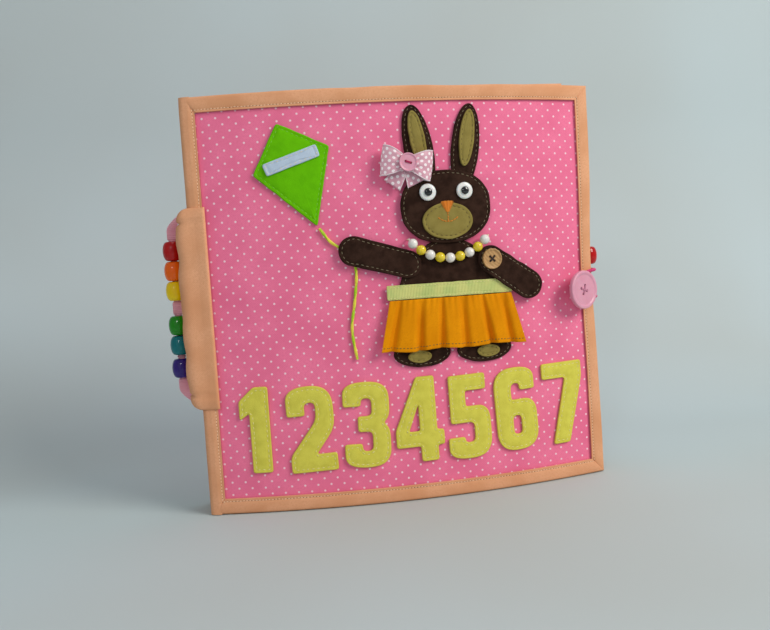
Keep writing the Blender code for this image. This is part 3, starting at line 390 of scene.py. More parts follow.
@dataclass
class Patch:
    """A piece of surface: its vertices, its faces of four or three, and a place on the cloth for each."""

    verts: Array
    quads: Array
    tris: Array
    uv: Array

    def outward(self) -> "Patch":
        """Turn a closed patch's faces over where its signed volume says that they face in."""
        faces = [self.quads[:, :3], self.quads[:, [0, 2, 3]], self.tris]
        a, b, c = (self.verts[np.concatenate([f[:, k] for f in faces])] for k in range(3))
        if np.einsum("ij,ij->", a - self.verts.mean(0), np.cross(b - a, c - a)) < 0:
            self.quads, self.tris = self.quads[:, ::-1], self.tris[:, ::-1]
        return self


def grid(points: Array, uv: Array | None = None, wrap: bool = False, ring: bool = False,
         caps: bool = False) -> Patch:
    """Join a grid of points into a surface.

    Args:
        points: places, rows by columns by three.
        uv: places on the cloth.
        wrap: whether the last column joins the first.
        ring: whether the last row joins the first.
        caps: whether the first and last rows are filled from their middles.

    Returns:
        The patch, whose faces look outward where it is closed.
    """
    rows, columns = points.shape[:2]
    uv = np.zeros((rows, columns, 2)) if uv is None else uv
    index = np.arange(rows * columns).reshape(rows, columns)
    if wrap:
        index = np.hstack([index, index[:, :1]])
    if ring:
        index = np.vstack([index, index[:1]])
    quads = np.stack([index[:-1, :-1], index[:-1, 1:], index[1:, 1:], index[1:, :-1]], -1).reshape(-1, 4)
    verts, places, tris = points.reshape(-1, 3), uv.reshape(-1, 2), np.zeros((0, 3), int)
    if caps:
        verts = np.vstack([verts, points[0].mean(0), points[-1].mean(0)])
        places = np.vstack([places, uv[0].mean(0), uv[-1].mean(0)])
        a, b = index[0], index[rows - 1]
        tris = np.vstack([joined(a[1:], a[:-1], rows * columns), joined(b[:-1], b[1:], rows * columns + 1)])
    made = Patch(verts, quads, tris, places)
    return made.outward() if (wrap and (caps or ring)) else made


def wrapped(outer: Array, inner: Array) -> Patch:
    """Close an outer and an inner surface into one cloth, with strips along the first and last rows.

    Args:
        outer: places, rows by columns by three.
        inner: places of the inner surface.

    Returns:
        A closed patch.
    """
    loop = np.concatenate([outer, inner[:, ::-1]], 1)
    run = run_along(outer[len(outer) // 2])
    made = grid(loop, joined(np.concatenate([run, run[::-1] + 60 * MM]), loop[..., 2]), wrap=True)
    k, count = np.arange(outer.shape[1] - 1), loop.shape[1]
    strip = joined(k + 1, k, count - 1 - k, count - 2 - k)
    made.quads = np.vstack([made.quads, strip, strip[:, ::-1] + (len(loop) - 1) * count])
    return made.outward()


def stacked(patches: Iterable[Patch]) -> Patch:
    """Put patches into one, keeping each one's own faces."""
    patches = list(patches)
    starts = np.cumsum([0] + [len(p.verts) for p in patches[:-1]])
    return Patch(np.vstack([p.verts for p in patches]),
                 np.vstack([p.quads + s for p, s in zip(patches, starts)]),
                 np.vstack([p.tris + s for p, s in zip(patches, starts)]),
                 np.vstack([p.uv for p in patches]))


def meshed(name: str, patch: Patch, sharp: float = 50.0, weld: bool = False,
           cloth: float = 0.0) -> bpy.types.Object:
    """Put a patch's arrays into a mesh object at the origin.

    Args:
        name: its name.
        patch: its surface.
        sharp: angle in degrees from which an edge is shaded sharp.
        weld: whether vertices in one place are joined.
        cloth: thickness that an open sheet is given.

    Returns:
        The linked object.
    """
    mesh = bpy.data.meshes.new(name)
    mesh.from_pydata(patch.verts.tolist(), [], patch.quads.tolist() + patch.tris.tolist())
    corners = np.concatenate([patch.quads.ravel(), patch.tris.ravel()])
    mesh.uv_layers.new(name="cloth").data.foreach_set("uv", patch.uv[corners].astype(np.float32).ravel())
    mesh.validate()
    if weld:
        whole = bmesh.new()
        whole.from_mesh(mesh)
        bmesh.ops.remove_doubles(whole, verts=whole.verts[:], dist=0.002 * MM)
        bmesh.ops.recalc_face_normals(whole, faces=whole.faces[:])
        whole.to_mesh(mesh)
        whole.free()
    mesh.shade_smooth()
    mesh.set_sharp_from_angle(angle=radians(sharp))
    made = bpy.data.objects.new(name, mesh)
    bpy.context.scene.collection.objects.link(made)
    if cloth:
        thick = made.modifiers.new("cloth", "SOLIDIFY")
        thick.thickness, thick.offset = cloth, 0
    return made


class Workshop:
    """Keeps one material for each finish, and makes, dresses and hangs each piece."""

    def __init__(self) -> None:
        """Start with no materials made."""
        self.materials: dict[Finish, bpy.types.Material] = {}

    def sew(self, name: str, patch: Patch, finish: Finish, body: str | None, slot: str | None = "thread",
            nodes: Sequence[str] = (), sharp: float = 50.0, **shape: float) -> bpy.types.Object:
        """Make a piece, dress it, let it ride on a body, and hide the CAD nodes that it stands for.

        Args:
            name: its name.
            patch: its surface.
            finish: what it is made of.
            body: what it rides on, or None, where it is left unattached.
            slot: not used.
            nodes: CAD nodes that it replaces.
            sharp: angle in degrees from which an edge is shaded sharp.
            shape: meshed's weld or cloth.

        Returns:
            The object.
        """
        piece = meshed(name, patch, sharp, **shape)
        if finish not in self.materials:
            self.materials[finish] = finish.make()
        piece.data.materials.append(self.materials[finish])
        if body:
            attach(piece, body)
        if nodes:
            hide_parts(*nodes)
        LOG.info("%s: %d faces, %s", name, len(piece.data.polygons), body or "bends")
        return piece


@dataclass(frozen=True)
class Panel:
    """The middle plane of a cover or leaf, with the same sizes as the CAD model's."""

    left: float
    middle: float
    bottom: float
    width: float
    height: float
    half: float
    wall: float
    lip: float
    edge_round: float
    bow: float
    rise: float
    narrow: float = 1.0
    dent: float = 0.0

    def place(self, across: Array | float, up: Array | float, out: Array | float) -> Array:
        """World places on the panel: it bulges forward as a parabola, bow * (1 - (2a/width - 1)^2).

        The elastic's pull draws the fore-edge in by dent * exp(-(height / reach)^2 - inset / fade).

        Args:
            across: distances from the spine edge.
            up: heights over the bottom edge.
            out: distances in front of the middle plane.

        Returns:
            Places, with a last axis of x, y and z.
        """
        swell = self.bow * (1 - (2 * across / self.width - 1) ** 2)
        pull = self.dent * np.exp(-((up - DENT_UP) / DENT_REACH) ** 2 - (self.width - across) / DENT_FADE)
        return joined(self.left + across - pull, self.middle - swell - out,
                      self.bottom + up + self.rise * across / self.width)

    def slope(self, across: Array | float) -> Array:
        """Angle about Z by which the parabola's front face turns away from -Y."""
        return np.arctan(4 * self.bow * (2 * np.asarray(across) / self.width - 1) / self.width)

    def normal(self, across: Array | float) -> Array:
        """Unit vectors that point out of the front."""
        slope = self.slope(across)
        return joined(np.sin(slope), -np.cos(slope), 0)

    @property
    def face(self) -> float:
        """Height of the pad's cloth over the middle plane."""
        return self.half - self.wall - GAP


DENT_UP = 123.5 * MM
DENT_REACH = 42 * MM
DENT_FADE = 14 * MM
GAP = 0.3 * MM
SPINE_THICK = 1.8 * MM
BOOK_LEFT = -122 * MM
PANEL_LEFT = BOOK_LEFT + SPINE_THICK + GAP
PANEL_WIDTH = 244 * MM - SPINE_THICK - GAP
COVER_HEIGHT = 240 * MM
FRONT = Panel(PANEL_LEFT, -21.4 * MM, 0, PANEL_WIDTH, COVER_HEIGHT, 3.3 * MM, 1 * MM, 9 * MM,
              1.4 * MM, 16 * MM, 0, narrow=0.74, dent=2.2 * MM)
BACK = Panel(PANEL_LEFT, 0, 0, PANEL_WIDTH, COVER_HEIGHT, 3.3 * MM, 1 * MM, 9 * MM, 1.4 * MM, 0, 0)
LEAVES = [Panel(PANEL_LEFT, middle, GAP, 230 * MM, 237 * MM, 2.2 * MM, 0.7 * MM, 7 * MM, 2 * MM,
                16 * MM * bow, 6.5 * MM * rise)
          for middle, bow, rise in ((-13.9 * MM, 2 / 3, 1.0), (-7.5 * MM, 1 / 3, 1 / 3))]
FLAT = Panel(0, 0, 0, 1, 1, 0, 0, 0, 0, 0, 0)
FRONT_FACE = FRONT.middle - FRONT.half
BACK_FACE = BACK.half
FELT = 1.4 * MM
LAYER = FELT + GAP
FIRST = FRONT.face + GAP
SECOND = FIRST + LAYER
THIRD = SECOND + LAYER
LINE_DIAMETER = 1.8 * MM
ARM_LAYER = FIRST + LINE_DIAMETER + GAP
SWING_LAYER = SECOND + 1 * MM + GAP
STITCH_INSET = 1.9 * MM
FELT_DEPTHS = np.array([0, 0.12, 0.4, 0.9, 1.5, 1.9, 2.3, 3.0]) * MM
FIGURE_ACROSS = 0.60 * PANEL_WIDTH
WAIST = 118 * MM
BODY_UP = WAIST + 4.25 * MM
BODY_TOP = BODY_UP + 30 * MM
HEAD_HEIGHT = 42 * MM
HEAD_UP = BODY_TOP - LAYER - FELT + HEAD_HEIGHT / 2
HEAD_TOP = HEAD_UP + HEAD_HEIGHT / 2
SHOULDER_UP = BODY_TOP - 14 * MM
SHOULDER_SPREAD = 25 * MM
ARM_LENGTH = 32 * MM
ARM_RADII = (8 * MM, 8.6 * MM)
RAISED = radians(163)


class Side(Enum):
    """A half of the book, with the sign of Y on which it lies."""

    FRONT = -1
    BACK = 1

    @property
    def panel(self) -> Panel:
        """The cover on that side."""
        return FRONT if self is Side.FRONT else BACK

    @property
    def face(self) -> float:
        """Y of the book's outer face there, at the spine."""
        return FRONT_FACE if self is Side.FRONT else BACK_FACE

    @property
    def body(self) -> str:
        """The body that the cover belongs to."""
        return self.name.lower()


PINK_COTTON = Cotton("pink dotted quilting cotton", "fa82a6", "ee7499", dot="fbd2de")
PEACH_COTTON = Cotton("peach plain cotton", "ebae86", "dc9c72")
SKIRT_COTTON = Cotton("orange cotton voile", "ea960a", "da8606", thread=0.5 * MM)
BROWN_FELT = Felt("brown wool felt", "3d2a22", "2a1b15")
OLIVE_FELT = Felt("olive wool felt", "968749", "8a7b40")
GREEN_FELT = Felt("lime green felt", "6ec60e", "64ba0c")
BLUE_FELT = Felt("pale blue felt", "c6d6e8", "b9cadf")
YELLOW_FELT = Felt("pale yellow felt", "dfd85a", "d4cc50")
GROSGRAIN = Ribbon("pale green grosgrain ribbon", "dcd984", "bccb78")
BEAD_RIBBON = Ribbon("pink cross-ribbed ribbon", "ffbac9", "ee9cae", rib=1.1 * MM, roughness=0.5, sheen=0.4)
ORGANZA = Ribbon("sheer dotted organza ribbon", "f0bccb", "e6a9bb", rib=0.7 * MM, depth=0.04 * MM,
                 roughness=0.45, sheen=0.5, alpha=0.82, dot="fdf3f5")
SATIN = Ribbon("white satin ribbon edge", "f4e6ea", "e4ccd4", rib=0.8 * MM, depth=0.04 * MM, roughness=0.35)
PINK_PLASTIC = Gloss("moulded pink polyester", "e2a0b5", "dc98ae", roughness=0.32, scatter=0.1)
WHITE_PLASTIC = Gloss("moulded white polyester", "f1f1ee", "e6e6e2", roughness=0.22, scatter=0.1)
BLACK_PLASTIC = Gloss("moulded black acrylic", "0b0b0d", "16161a", roughness=0.08, coat=0.6)
WHITE_PEARL = Gloss("white imitation pearl", "f3efe8", "ded8d2", roughness=0.2, coat=0.5, cloud=2 * MM)
YELLOW_PEARL = Gloss("yellow imitation pearl", "efd62a", "dcbb14", roughness=0.22, coat=0.5, cloud=2 * MM)
BUTTON_WOOD = Wood("waxed turned beech", "c49a62", "ad8050")
PINK_ELASTIC = Strand("braided hot pink elastic", "e0407f", "c22a66", twist=1.2 * MM)
CREAM_THREAD = Strand("cream polyester thread", "efe0c0", "d8c49c")
PEACH_THREAD = Strand("pale peach polyester thread", "fbe0bc", "e6c094")
# Painted shade: dark short threads that stand for the shadow inside each needle hole between the stitches.
NEEDLE_HOLE_SHADE = Strand("shadowed needle hole", "8a5230", "6e3c20")
TAN_THREAD = Strand("grey-brown cotton thread", "968a6c", "7c7054")
DARK_THREAD = Strand("dark olive thread", "6f5c28", "574619")
GREEN_THREAD = Strand("green thread", "8ad834", "6cb61e")
YELLOW_THREAD = Strand("yellow cotton thread", "f0e8a8", "d8ce80")
PINK_THREAD = Strand("hot pink thread", "c2275f", "9a1a48")
ROSE_THREAD = Strand("rose thread", "d088a2", "b87090")
ORANGE_FLOSS = Strand("orange embroidery floss", "e9891b", "c96d0c", twist=1.4 * MM)
BROWN_THREAD = Strand("dark brown thread", "35201a", "22130f")
LINE_CORD = Strand("lime and yellow cord", "a6d814", "efe24a", twist=1.6 * MM, halves=True)
BEAD_PAINT = {
    "red": ("c00406", "b00406"), "orange": ("ff7000", "ff6600"), "yellow": ("ffdc00", "fad000"),
    "green": ("1a9206", "168604"), "teal": ("007a80", "006f74"), "purple": ("341a80", "2c1672"),
}
FELT_SLOTS = {BROWN_FELT: "brown_felt", OLIVE_FELT: "olive_felt", GREEN_FELT: "green_felt",
              BLUE_FELT: "pale_blue_felt"}


def waves(across: Array, up: Array, seed: int, length: float) -> Array:
    """Slow wrinkles from about -1 to 1: seven sine waves of random direction, phase and length.

    Args:
        across: distances in metres.
        up: distances in metres.
        seed: seed of the random draws.
        length: middle wavelength.

    Returns:
        Heights.
    """
    draws = np.random.default_rng(seed)
    total = 0.0
    for angle, phase, stretch in draws.uniform((0, 0, 0.6), (pi, tau, 1.7), (7, 3)):
        along = across * cos(angle) + up * sin(angle)
        total = total + np.sin(tau * along / (length * stretch) + phase)
    return total / (1.12 * 7 ** 0.5)


def resampled(line: Array, count: int, closed: bool = True) -> Array:
    """Points at even steps along a line, which goes back to its start where it is closed."""
    line = np.vstack([line, line[:1]]) if closed else line
    run = run_along(line)
    wanted = np.linspace(0, run[-1], count, endpoint=not closed)
    return joined(*(np.interp(wanted, run, column) for column in line.T))


def softened(outline: Array, times: int) -> Array:
    """Round a closed outline's corners a little by averaging each point with its neighbours."""
    for _ in range(times):
        outline = (np.roll(outline, 1, 0) + 2 * outline + np.roll(outline, -1, 0)) / 4
    return outline


def inset(outline: Array, distance: Array | float) -> Array:
    """Move a star-shaped outline inward by a distance, or once for each of an array of distances.

    Each point goes towards the middle by the share distance / h, where h is how far the middle is
    from the outline's tangent there, so no two points ever cross.
    """
    centre = outline.mean(0)
    tangent = np.roll(outline, -1, 0) - np.roll(outline, 1, 0)
    away = np.abs(np.sum((outline - centre) * unit(joined(tangent[:, 1], -tangent[:, 0])), 1))
    share = np.clip(1 - np.asarray(distance)[..., None, None] / away[:, None], 0, None)
    return centre + (outline - centre) * share


def ellipse(centre: Pair, width: float, height: float, turn: float = 0.0, power: float = 2.0,
            narrow: float = 0.0, count: int = 120) -> Array:
    """Outline |x/a|^p + |y/b|^p = 1, turned; with narrow above nought its top draws in as a pear's.

    Args:
        centre: middle.
        width: width before it is turned.
        height: height.
        turn: angle.
        power: 2, or more for fuller corners.
        narrow: share of the width lost at the top.
        count: number of points.

    Returns:
        The outline.
    """
    angle = np.linspace(0, tau, count, endpoint=False)
    c, s = np.cos(angle), np.sin(angle)
    x = width / 2 * np.copysign(np.abs(c) ** (2 / power), c) * (1 - narrow * (1 + s) / 2)
    y = height / 2 * np.copysign(np.abs(s) ** (2 / power), s)
    return joined(x, y) @ spun(turn) + centre


def limb(start: Pair, length: float, angle: float) -> Array:
    """Outline of an arm: half circles round its shoulder and its paw, joined by straight sides."""
    half = np.linspace(0, pi, 24)
    ends = [joined(at + radius * np.cos(first + half), radius * np.sin(first + half))
            for at, radius, first in zip((0.0, length), ARM_RADII, (pi / 2, -pi / 2))]
    return np.asarray(start) + resampled(np.vstack(ends), 140) @ spun(angle)


def felt_height(depth: Array, flat: Array, thick: float, seed: int, groove: float, puff: float) -> Array:
    """Height of felt over its underside, by how deep inside the edge a point lies.

    It is the thickness, less a quarter-round over the outer 0.4 mm, less a groove
    exp(-((d - stitch)/0.5 mm)^2) along the stitches, plus a slow puff and small waves.

    Args:
        depth: distances to the edge.
        flat: places across and up.
        thick: the felt's thickness.
        seed: seed of the waves.
        groove: how deep the stitches pull.
        puff: how far the middle rises.

    Returns:
        Heights.
    """
    rolled = 0.4 * MM
    edge = rolled * (1 - np.sqrt(np.clip(1 - (1 - np.clip(depth / rolled, 0, 1)) ** 2, 0, 1)))
    return (thick - edge - groove * np.exp(-((depth - STITCH_INSET) / (0.5 * MM)) ** 2)
            + puff * (1 - np.exp(-np.clip(depth - STITCH_INSET, 0, None) / (4 * MM)))
            + 0.06 * MM * waves(flat[..., 0], flat[..., 1], seed, 7 * MM))


def felt_patch(panel: Panel, outline: Array, base: float, thick: float = FELT, seed: int = 0,
               groove: float = 0.28 * MM, puff: float = 0.25 * MM) -> Patch:
    """A flat felt piece with a rolled edge, laid on a panel.

    Loops of the outline, moved in by the felt depths and then shrunk to the middle, carry the top at
    felt_height, and the same loops close it below.

    Args:
        panel: what it lies on.
        outline: its outline, across and up.
        base: height of its underside over the middle plane.
        thick: its thickness.
        seed: seed of its wobble.
        groove: how deep the stitches pull.
        puff: how far the middle rises.

    Returns:
        A closed patch.
    """
    centre = outline.mean(0)
    wobble = 0.12 * MM * waves(*outline.T, seed + 40, 9 * MM)
    outline = outline + wobble[:, None] * unit(outline - centre)
    reach = np.linalg.norm(outline - centre, axis=1).min()
    depths = FELT_DEPTHS[FELT_DEPTHS < reach * 0.7]
    loops = inset(outline, depths)
    shares = np.linspace(1, 0.08, 7)[1:, None, None]
    flat = np.vstack([loops, centre + (loops[-1] - centre) * shares])
    depth = np.concatenate([depths, depths[-1] + reach * (1 - shares[:, 0, 0])])[:, None]
    height = felt_height(depth, flat, thick, seed, groove, puff)
    top = panel.place(flat[..., 0], flat[..., 1], base + height)
    under = panel.place(flat[::-1, :, 0], flat[::-1, :, 1], base)
    return grid(np.vstack([under, top]), np.vstack([flat[::-1], flat]), wrap=True, caps=True)


def stitch_patch(centres: Array, ahead: Array, out: Array, length: Array | float, thick: float) -> Patch:
    """Many stitches: short round threads whose ends dip into the cloth.

    One stitch is a tube of 6 by 5 points with radius thick/2 * (1 - 0.75 t^4), which sinks by
    0.55 thick t^2 for t from -1 to 1, and every stitch is that tube in its own directions.

    Args:
        centres: middle of each stitch.
        ahead: its unit direction.
        out: unit direction out of the cloth.
        length: its length.
        thick: the thread's thickness.

    Returns:
        One patch with every stitch closed.
    """
    along, turn = np.linspace(-1, 1, 5)[:, None], np.linspace(0, tau, 6, endpoint=False)
    radius, count = thick / 2 * (1 - 0.75 * along ** 4), len(centres)
    rise = radius * np.sin(turn) - thick * 0.55 * along ** 2 + thick * 0.22
    local = joined(np.broadcast_to(length, count)[:, None, None] / 2 * along, radius * np.cos(turn), rise)
    points = centres[:, None, None] + local @ np.stack([ahead, np.cross(ahead, out), out], 1)[:, None]
    single = grid(points[0], joined(along * np.mean(length) / 2, turn / tau), wrap=True, caps=True)
    single.uv[-2:] = 0
    verts = np.concatenate([points.reshape(count, -1, 3), points[:, :1].mean(2), points[:, -1:].mean(2)], 1)
    starts = np.arange(count)[:, None, None] * verts.shape[1]
    return Patch(verts.reshape(-1, 3), (single.quads + starts).reshape(-1, 4),
                 (single.tris + starts).reshape(-1, 3), np.tile(single.uv, (count, 1)))


def running_stitch(panel: Panel, line: Array, out: float, pitch: float = 2.9 * MM, length: float = 1.8 * MM,
                   thick: float = 0.42 * MM, seed: int = 0, closed: bool = True, back: bool = False,
                   between: bool = False) -> Patch:
    """Hand or machine stitches along a line on a panel, a little uneven.

    Args:
        panel: the panel.
        line: the line, across and up.
        out: the cloth's height over the middle plane.
        pitch: distance from stitch to stitch.
        length: a stitch's length.
        thick: the thread's thickness.
        seed: seed of the unevenness.
        closed: whether the line goes back to its start.
        back: whether they show on the panel's back.
        between: whether they lie in the gaps, as the needle's holes do.

    Returns:
        All the stitches.
    """
    total = run_along(np.vstack([line, line[:1]]) if closed else line)[-1]
    count = max(3, int(round(total / pitch)))
    fine = resampled(line, 2 * count + (0 if closed else 1), closed)
    draws = np.random.default_rng(seed + 7)
    step = unit(np.roll(fine, -2, 0)[::2][:count] - fine[::2][:count]) * length / 2
    mid = fine[0 if between else 1::2][:count]
    mid = mid + draws.normal(0, 0.07 * MM, mid.shape)
    start, end = (panel.place(*(mid + shift).T, out) for shift in (-step, step))
    normal = panel.normal(mid[:, 0]) * (-1 if back else 1)
    return stitch_patch((start + end) / 2, unit(end - start), normal,
                        length * draws.uniform(0.85, 1.1, count), thick)


def turned_patch(profile: Array, steps: int) -> Patch:
    """Turn a profile of radius and height about Z: x = r cos a, y = r sin a, z = h.

    Args:
        profile: radius and height pairs, which may come back to their start.
        steps: points round the axis.

    Returns:
        A closed patch.
    """
    loop = np.allclose(profile[0], profile[-1])
    profile = profile[:-1] if loop else profile
    angle = np.linspace(0, tau, steps, endpoint=False)
    points = joined(profile[:, :1] * np.cos(angle), profile[:, :1] * np.sin(angle), profile[:, 1:])
    uv = joined(run_along(profile)[:, None], angle / tau)
    return grid(points, uv, wrap=True, ring=loop, caps=not loop)


def moved(patch: Patch, at: Array, ahead: Array, up: Sequence[float] = (0, 0, 1)) -> Patch:
    """Turn a patch so that its Z points ahead and its Y nearly up, and put its origin at a place."""
    z, y = unit(np.asarray(ahead, float)), np.asarray(up, float)
    if abs(z @ y) > 0.98 * np.linalg.norm(y):
        y = np.array((0.0, 1.0, 0.0))
    y = unit(y - (y @ z) * z)
    patch.verts = patch.verts @ np.stack([np.cross(y, z), y, z]) + np.asarray(at)
    return patch


def round_profile(*corners: tuple[float, float, float], steps: int = 6) -> Array:
    """A profile whose inner corners are rounded by a quadratic curve.

    Args:
        corners: radius, height, and how far the rounding reaches, for each corner.
        steps: points on each rounding.

    Returns:
        Radius and height pairs.
    """
    points, t = np.array(corners)[:, :2], np.linspace(0, 1, steps)[:, None]
    made = [points[:1]]
    for before, here, after, (_, _, reach) in zip(points, points[1:], points[2:], corners[1:]):
        a, b = (here + (end - here) * min(reach / np.linalg.norm(end - here), 0.5) for end in (before, after))
        made.append((1 - t) ** 2 * a + 2 * t * (1 - t) * here + t ** 2 * b)
    return np.vstack(made + [points[-1:]])


def box_loop(wide: float, tall: float, columns: int, rows: int) -> Array:
    """Even steps round a box about the origin, anticlockwise; wide and tall are half its sides."""
    x, y = (np.linspace(-size, size, count + 1)[:-1] for size, count in ((wide, columns), (tall, rows)))
    return np.vstack([joined(x, -tall), joined(wide, y), joined(-x, tall), joined(-wide, -y)])


def sewing_button(radius: float, thick: float, rim: float, dish: float, hole: float, pitch: float,
                  columns: int = 2, rows: int = 2) -> Patch:
    """A button about Z with its underside at nought: dished middle, raised rim, rounded edge, holes.

    Round each hole lies a square cell whose edge is drawn to the hole's circle, and beyond the cells
    rings go out along straight lines from the cells' outer edge to the rim's profile.

    Args:
        radius: its radius.
        thick: the rim's thickness.
        rim: the rim's width.
        dish: depth of the middle.
        hole: a hole's radius.
        pitch: distance from hole to hole, and a cell's side.
        columns: holes side by side.
        rows: holes one over the other.

    Returns:
        A closed patch, to be welded.
    """
    flat, edge, high, lip = radius - rim, thick / 4, thick - dish, 0.18 * hole
    outline = round_profile((flat * 0.9, high, 0), (flat, high, dish * 1.5), (flat + dish * 1.2, thick, dish),
                            (radius, thick, edge * 1.6), (radius, edge, edge), (radius - edge, 0, edge),
                            (flat * 0.9, 0, 0), steps=7)
    share, steps = np.linspace(0, 1, 4)[:, None, None], 8

    def shell(disc: Array, wall: list[Array]) -> Patch:
        """Join a flat grid on the top face by the loops of a wall to the same grid on the underside."""
        faces = [joined(disc[..., 0], disc[..., 1], high), joined(disc[::-1, :, 0], disc[::-1, :, 1], 0.0)]
        return grid(np.vstack([faces[0], wall, faces[1]]), wrap=True)

    square = box_loop(1, 1, steps, steps)
    circle, patches = unit(square), []
    for column in (np.arange(columns) - (columns - 1) / 2) * pitch:
        for row in (np.arange(rows) - (rows - 1) / 2) * pitch:
            disc = (column, row) + (1 - share) * square * pitch / 2 + share * circle * (hole + lip)
            x, y = ((column, row) + circle * hole).T
            patches.append(shell(disc, [joined(x, y, z) for z in (high - lip, lip)]))
    square = box_loop(columns * pitch / 2, rows * pitch / 2, steps * columns, steps * rows)
    circle = unit(square)
    disc = square * (1 - share) + circle * flat * 0.9 * share
    patches.append(shell(disc, [joined(*(circle * r).T, z) for r, z in outline[1:-1]]))
    return stacked(patches)


def tube_patch(points: Array, radius: float, sides: int = 10, lobes: float = 0.0, twist: float = 1.0) -> Patch:
    """Carry a circle along a path, with frames that turn as little as they can.

    The radius at angle a is r * (1 - lobes + lobes * |cos(a - turn)|), so that two strands side by
    side wind once round in each twist.

    Args:
        points: the path.
        radius: the tube's radius.
        sides: points round it.
        lobes: how far two strands stand apart, or nought.
        twist: length of one turn of the strands.

    Returns:
        A closed patch.
    """
    ahead = unit(np.gradient(points, axis=0))
    side = [np.cross(ahead[0], (0.0, 0.0, 1.0) if abs(ahead[0, 2]) < 0.9 else (1.0, 0.0, 0.0))]
    for direction in ahead:
        side.append(unit(side[-1] - (side[-1] @ direction) * direction))
    side, run = np.array(side[1:]), run_along(points)[:, None]
    angle = np.linspace(0, tau, sides, endpoint=False)
    strand = angle - tau * run / twist * (lobes > 0)
    reach = radius * (1 - lobes + lobes * np.abs(np.cos(strand)))
    rings = (points[:, None] + (reach * np.cos(angle))[..., None] * side[:, None]
             + (reach * np.sin(angle))[..., None] * np.cross(ahead, side)[:, None])
    return grid(rings, joined(run, strand / tau), wrap=True, caps=True)


def smooth_route(points: Array, spacing: float) -> Array:
    """Points at a spacing on a Catmull-Rom curve through a route's own points."""
    ends = np.vstack([2 * points[0] - points[1], points, 2 * points[-1] - points[-2]])
    made = []
    for a, b, c, d in zip(ends, ends[1:], ends[2:], ends[3:]):
        count = max(2, ceil(np.linalg.norm(c - b) / spacing))
        t = (np.arange(count) / count)[:, None]
        made.append(0.5 * (2 * b + (c - a) * t + (2 * a - 5 * b + 4 * c - d) * t ** 2
                           + (3 * b - a - 3 * c + d) * t ** 3))
    return np.vstack(made + [points[-1:]])


def thread_bar(start: Array, end: Array, level: float, thick: float, drop: float) -> Patch:
    """Two threads side by side from one hole to another: up out of one, across, and down the other.

    Args:
        start: one hole.
        end: the other hole.
        level: height of the face.
        thick: a thread's thickness.
        drop: how far down the threads go.

    Returns:
        A closed patch.
    """
    middle, (x, y) = (start + end) / 2, unit(end - start)
    stops = [(start, -drop), (start, -0.2 * thick), (start + (middle - start) * 0.3, 0.5 * thick),
             (middle, 0.62 * thick), (end + (middle - end) * 0.3, 0.5 * thick), (end, -0.2 * thick),
             (end, -drop)]
    lines = [np.array([(*(place + np.array([-y, x]) * shift * thick), level + rise) for place, rise in stops])
             for shift in (-0.45, 0.45)]
    return stacked(tube_patch(smooth_route(line, thick * 0.7), thick / 2, 8) for line in lines)


def crossed(pitch: float, level: float, drop: float) -> list[Patch]:
    """Two thread bars that cross between a button's four holes."""
    return [thread_bar(half, -half, level, 0.5 * MM, drop) for half in np.array([(1, 1), (1, -1)]) * pitch / 2]


def lacquer(colour: str) -> Gloss:
    """Glossy toy lacquer over birch: full colour, with small sharp lights."""
    return Gloss(f"{colour} lacquered birch", *BEAD_PAINT[colour], roughness=0.24, coat=0.6, depth=0.004 * MM,
                 specular=0.12)


def bead_patch(diameter: float, length: float, bore: float, flat: float) -> Patch:
    """A bead about Z whose outside is r = rim + (radius - rim) cos^0.8 a at height half sin a.

    Args:
        diameter: its diameter.
        length: its length.
        bore: the bore's diameter.
        flat: width of the flat round the bore.

    Returns:
        A closed patch.
    """
    half, inner, lip = length / 2, bore / 2, 0.3 * MM
    rim = inner + flat
    angle = np.linspace(pi / 2, -pi / 2, 22)
    outer = joined(rim + (diameter / 2 - rim) * np.cos(angle).clip(0) ** 0.8, half * np.sin(angle))
    start = np.array([(inner, half - lip), (inner + lip * 0.3, half - lip * 0.3), (inner + lip, half)])
    return turned_patch(np.vstack([start, outer, start[::-1] * (1, -1), start[:1]]), 48)


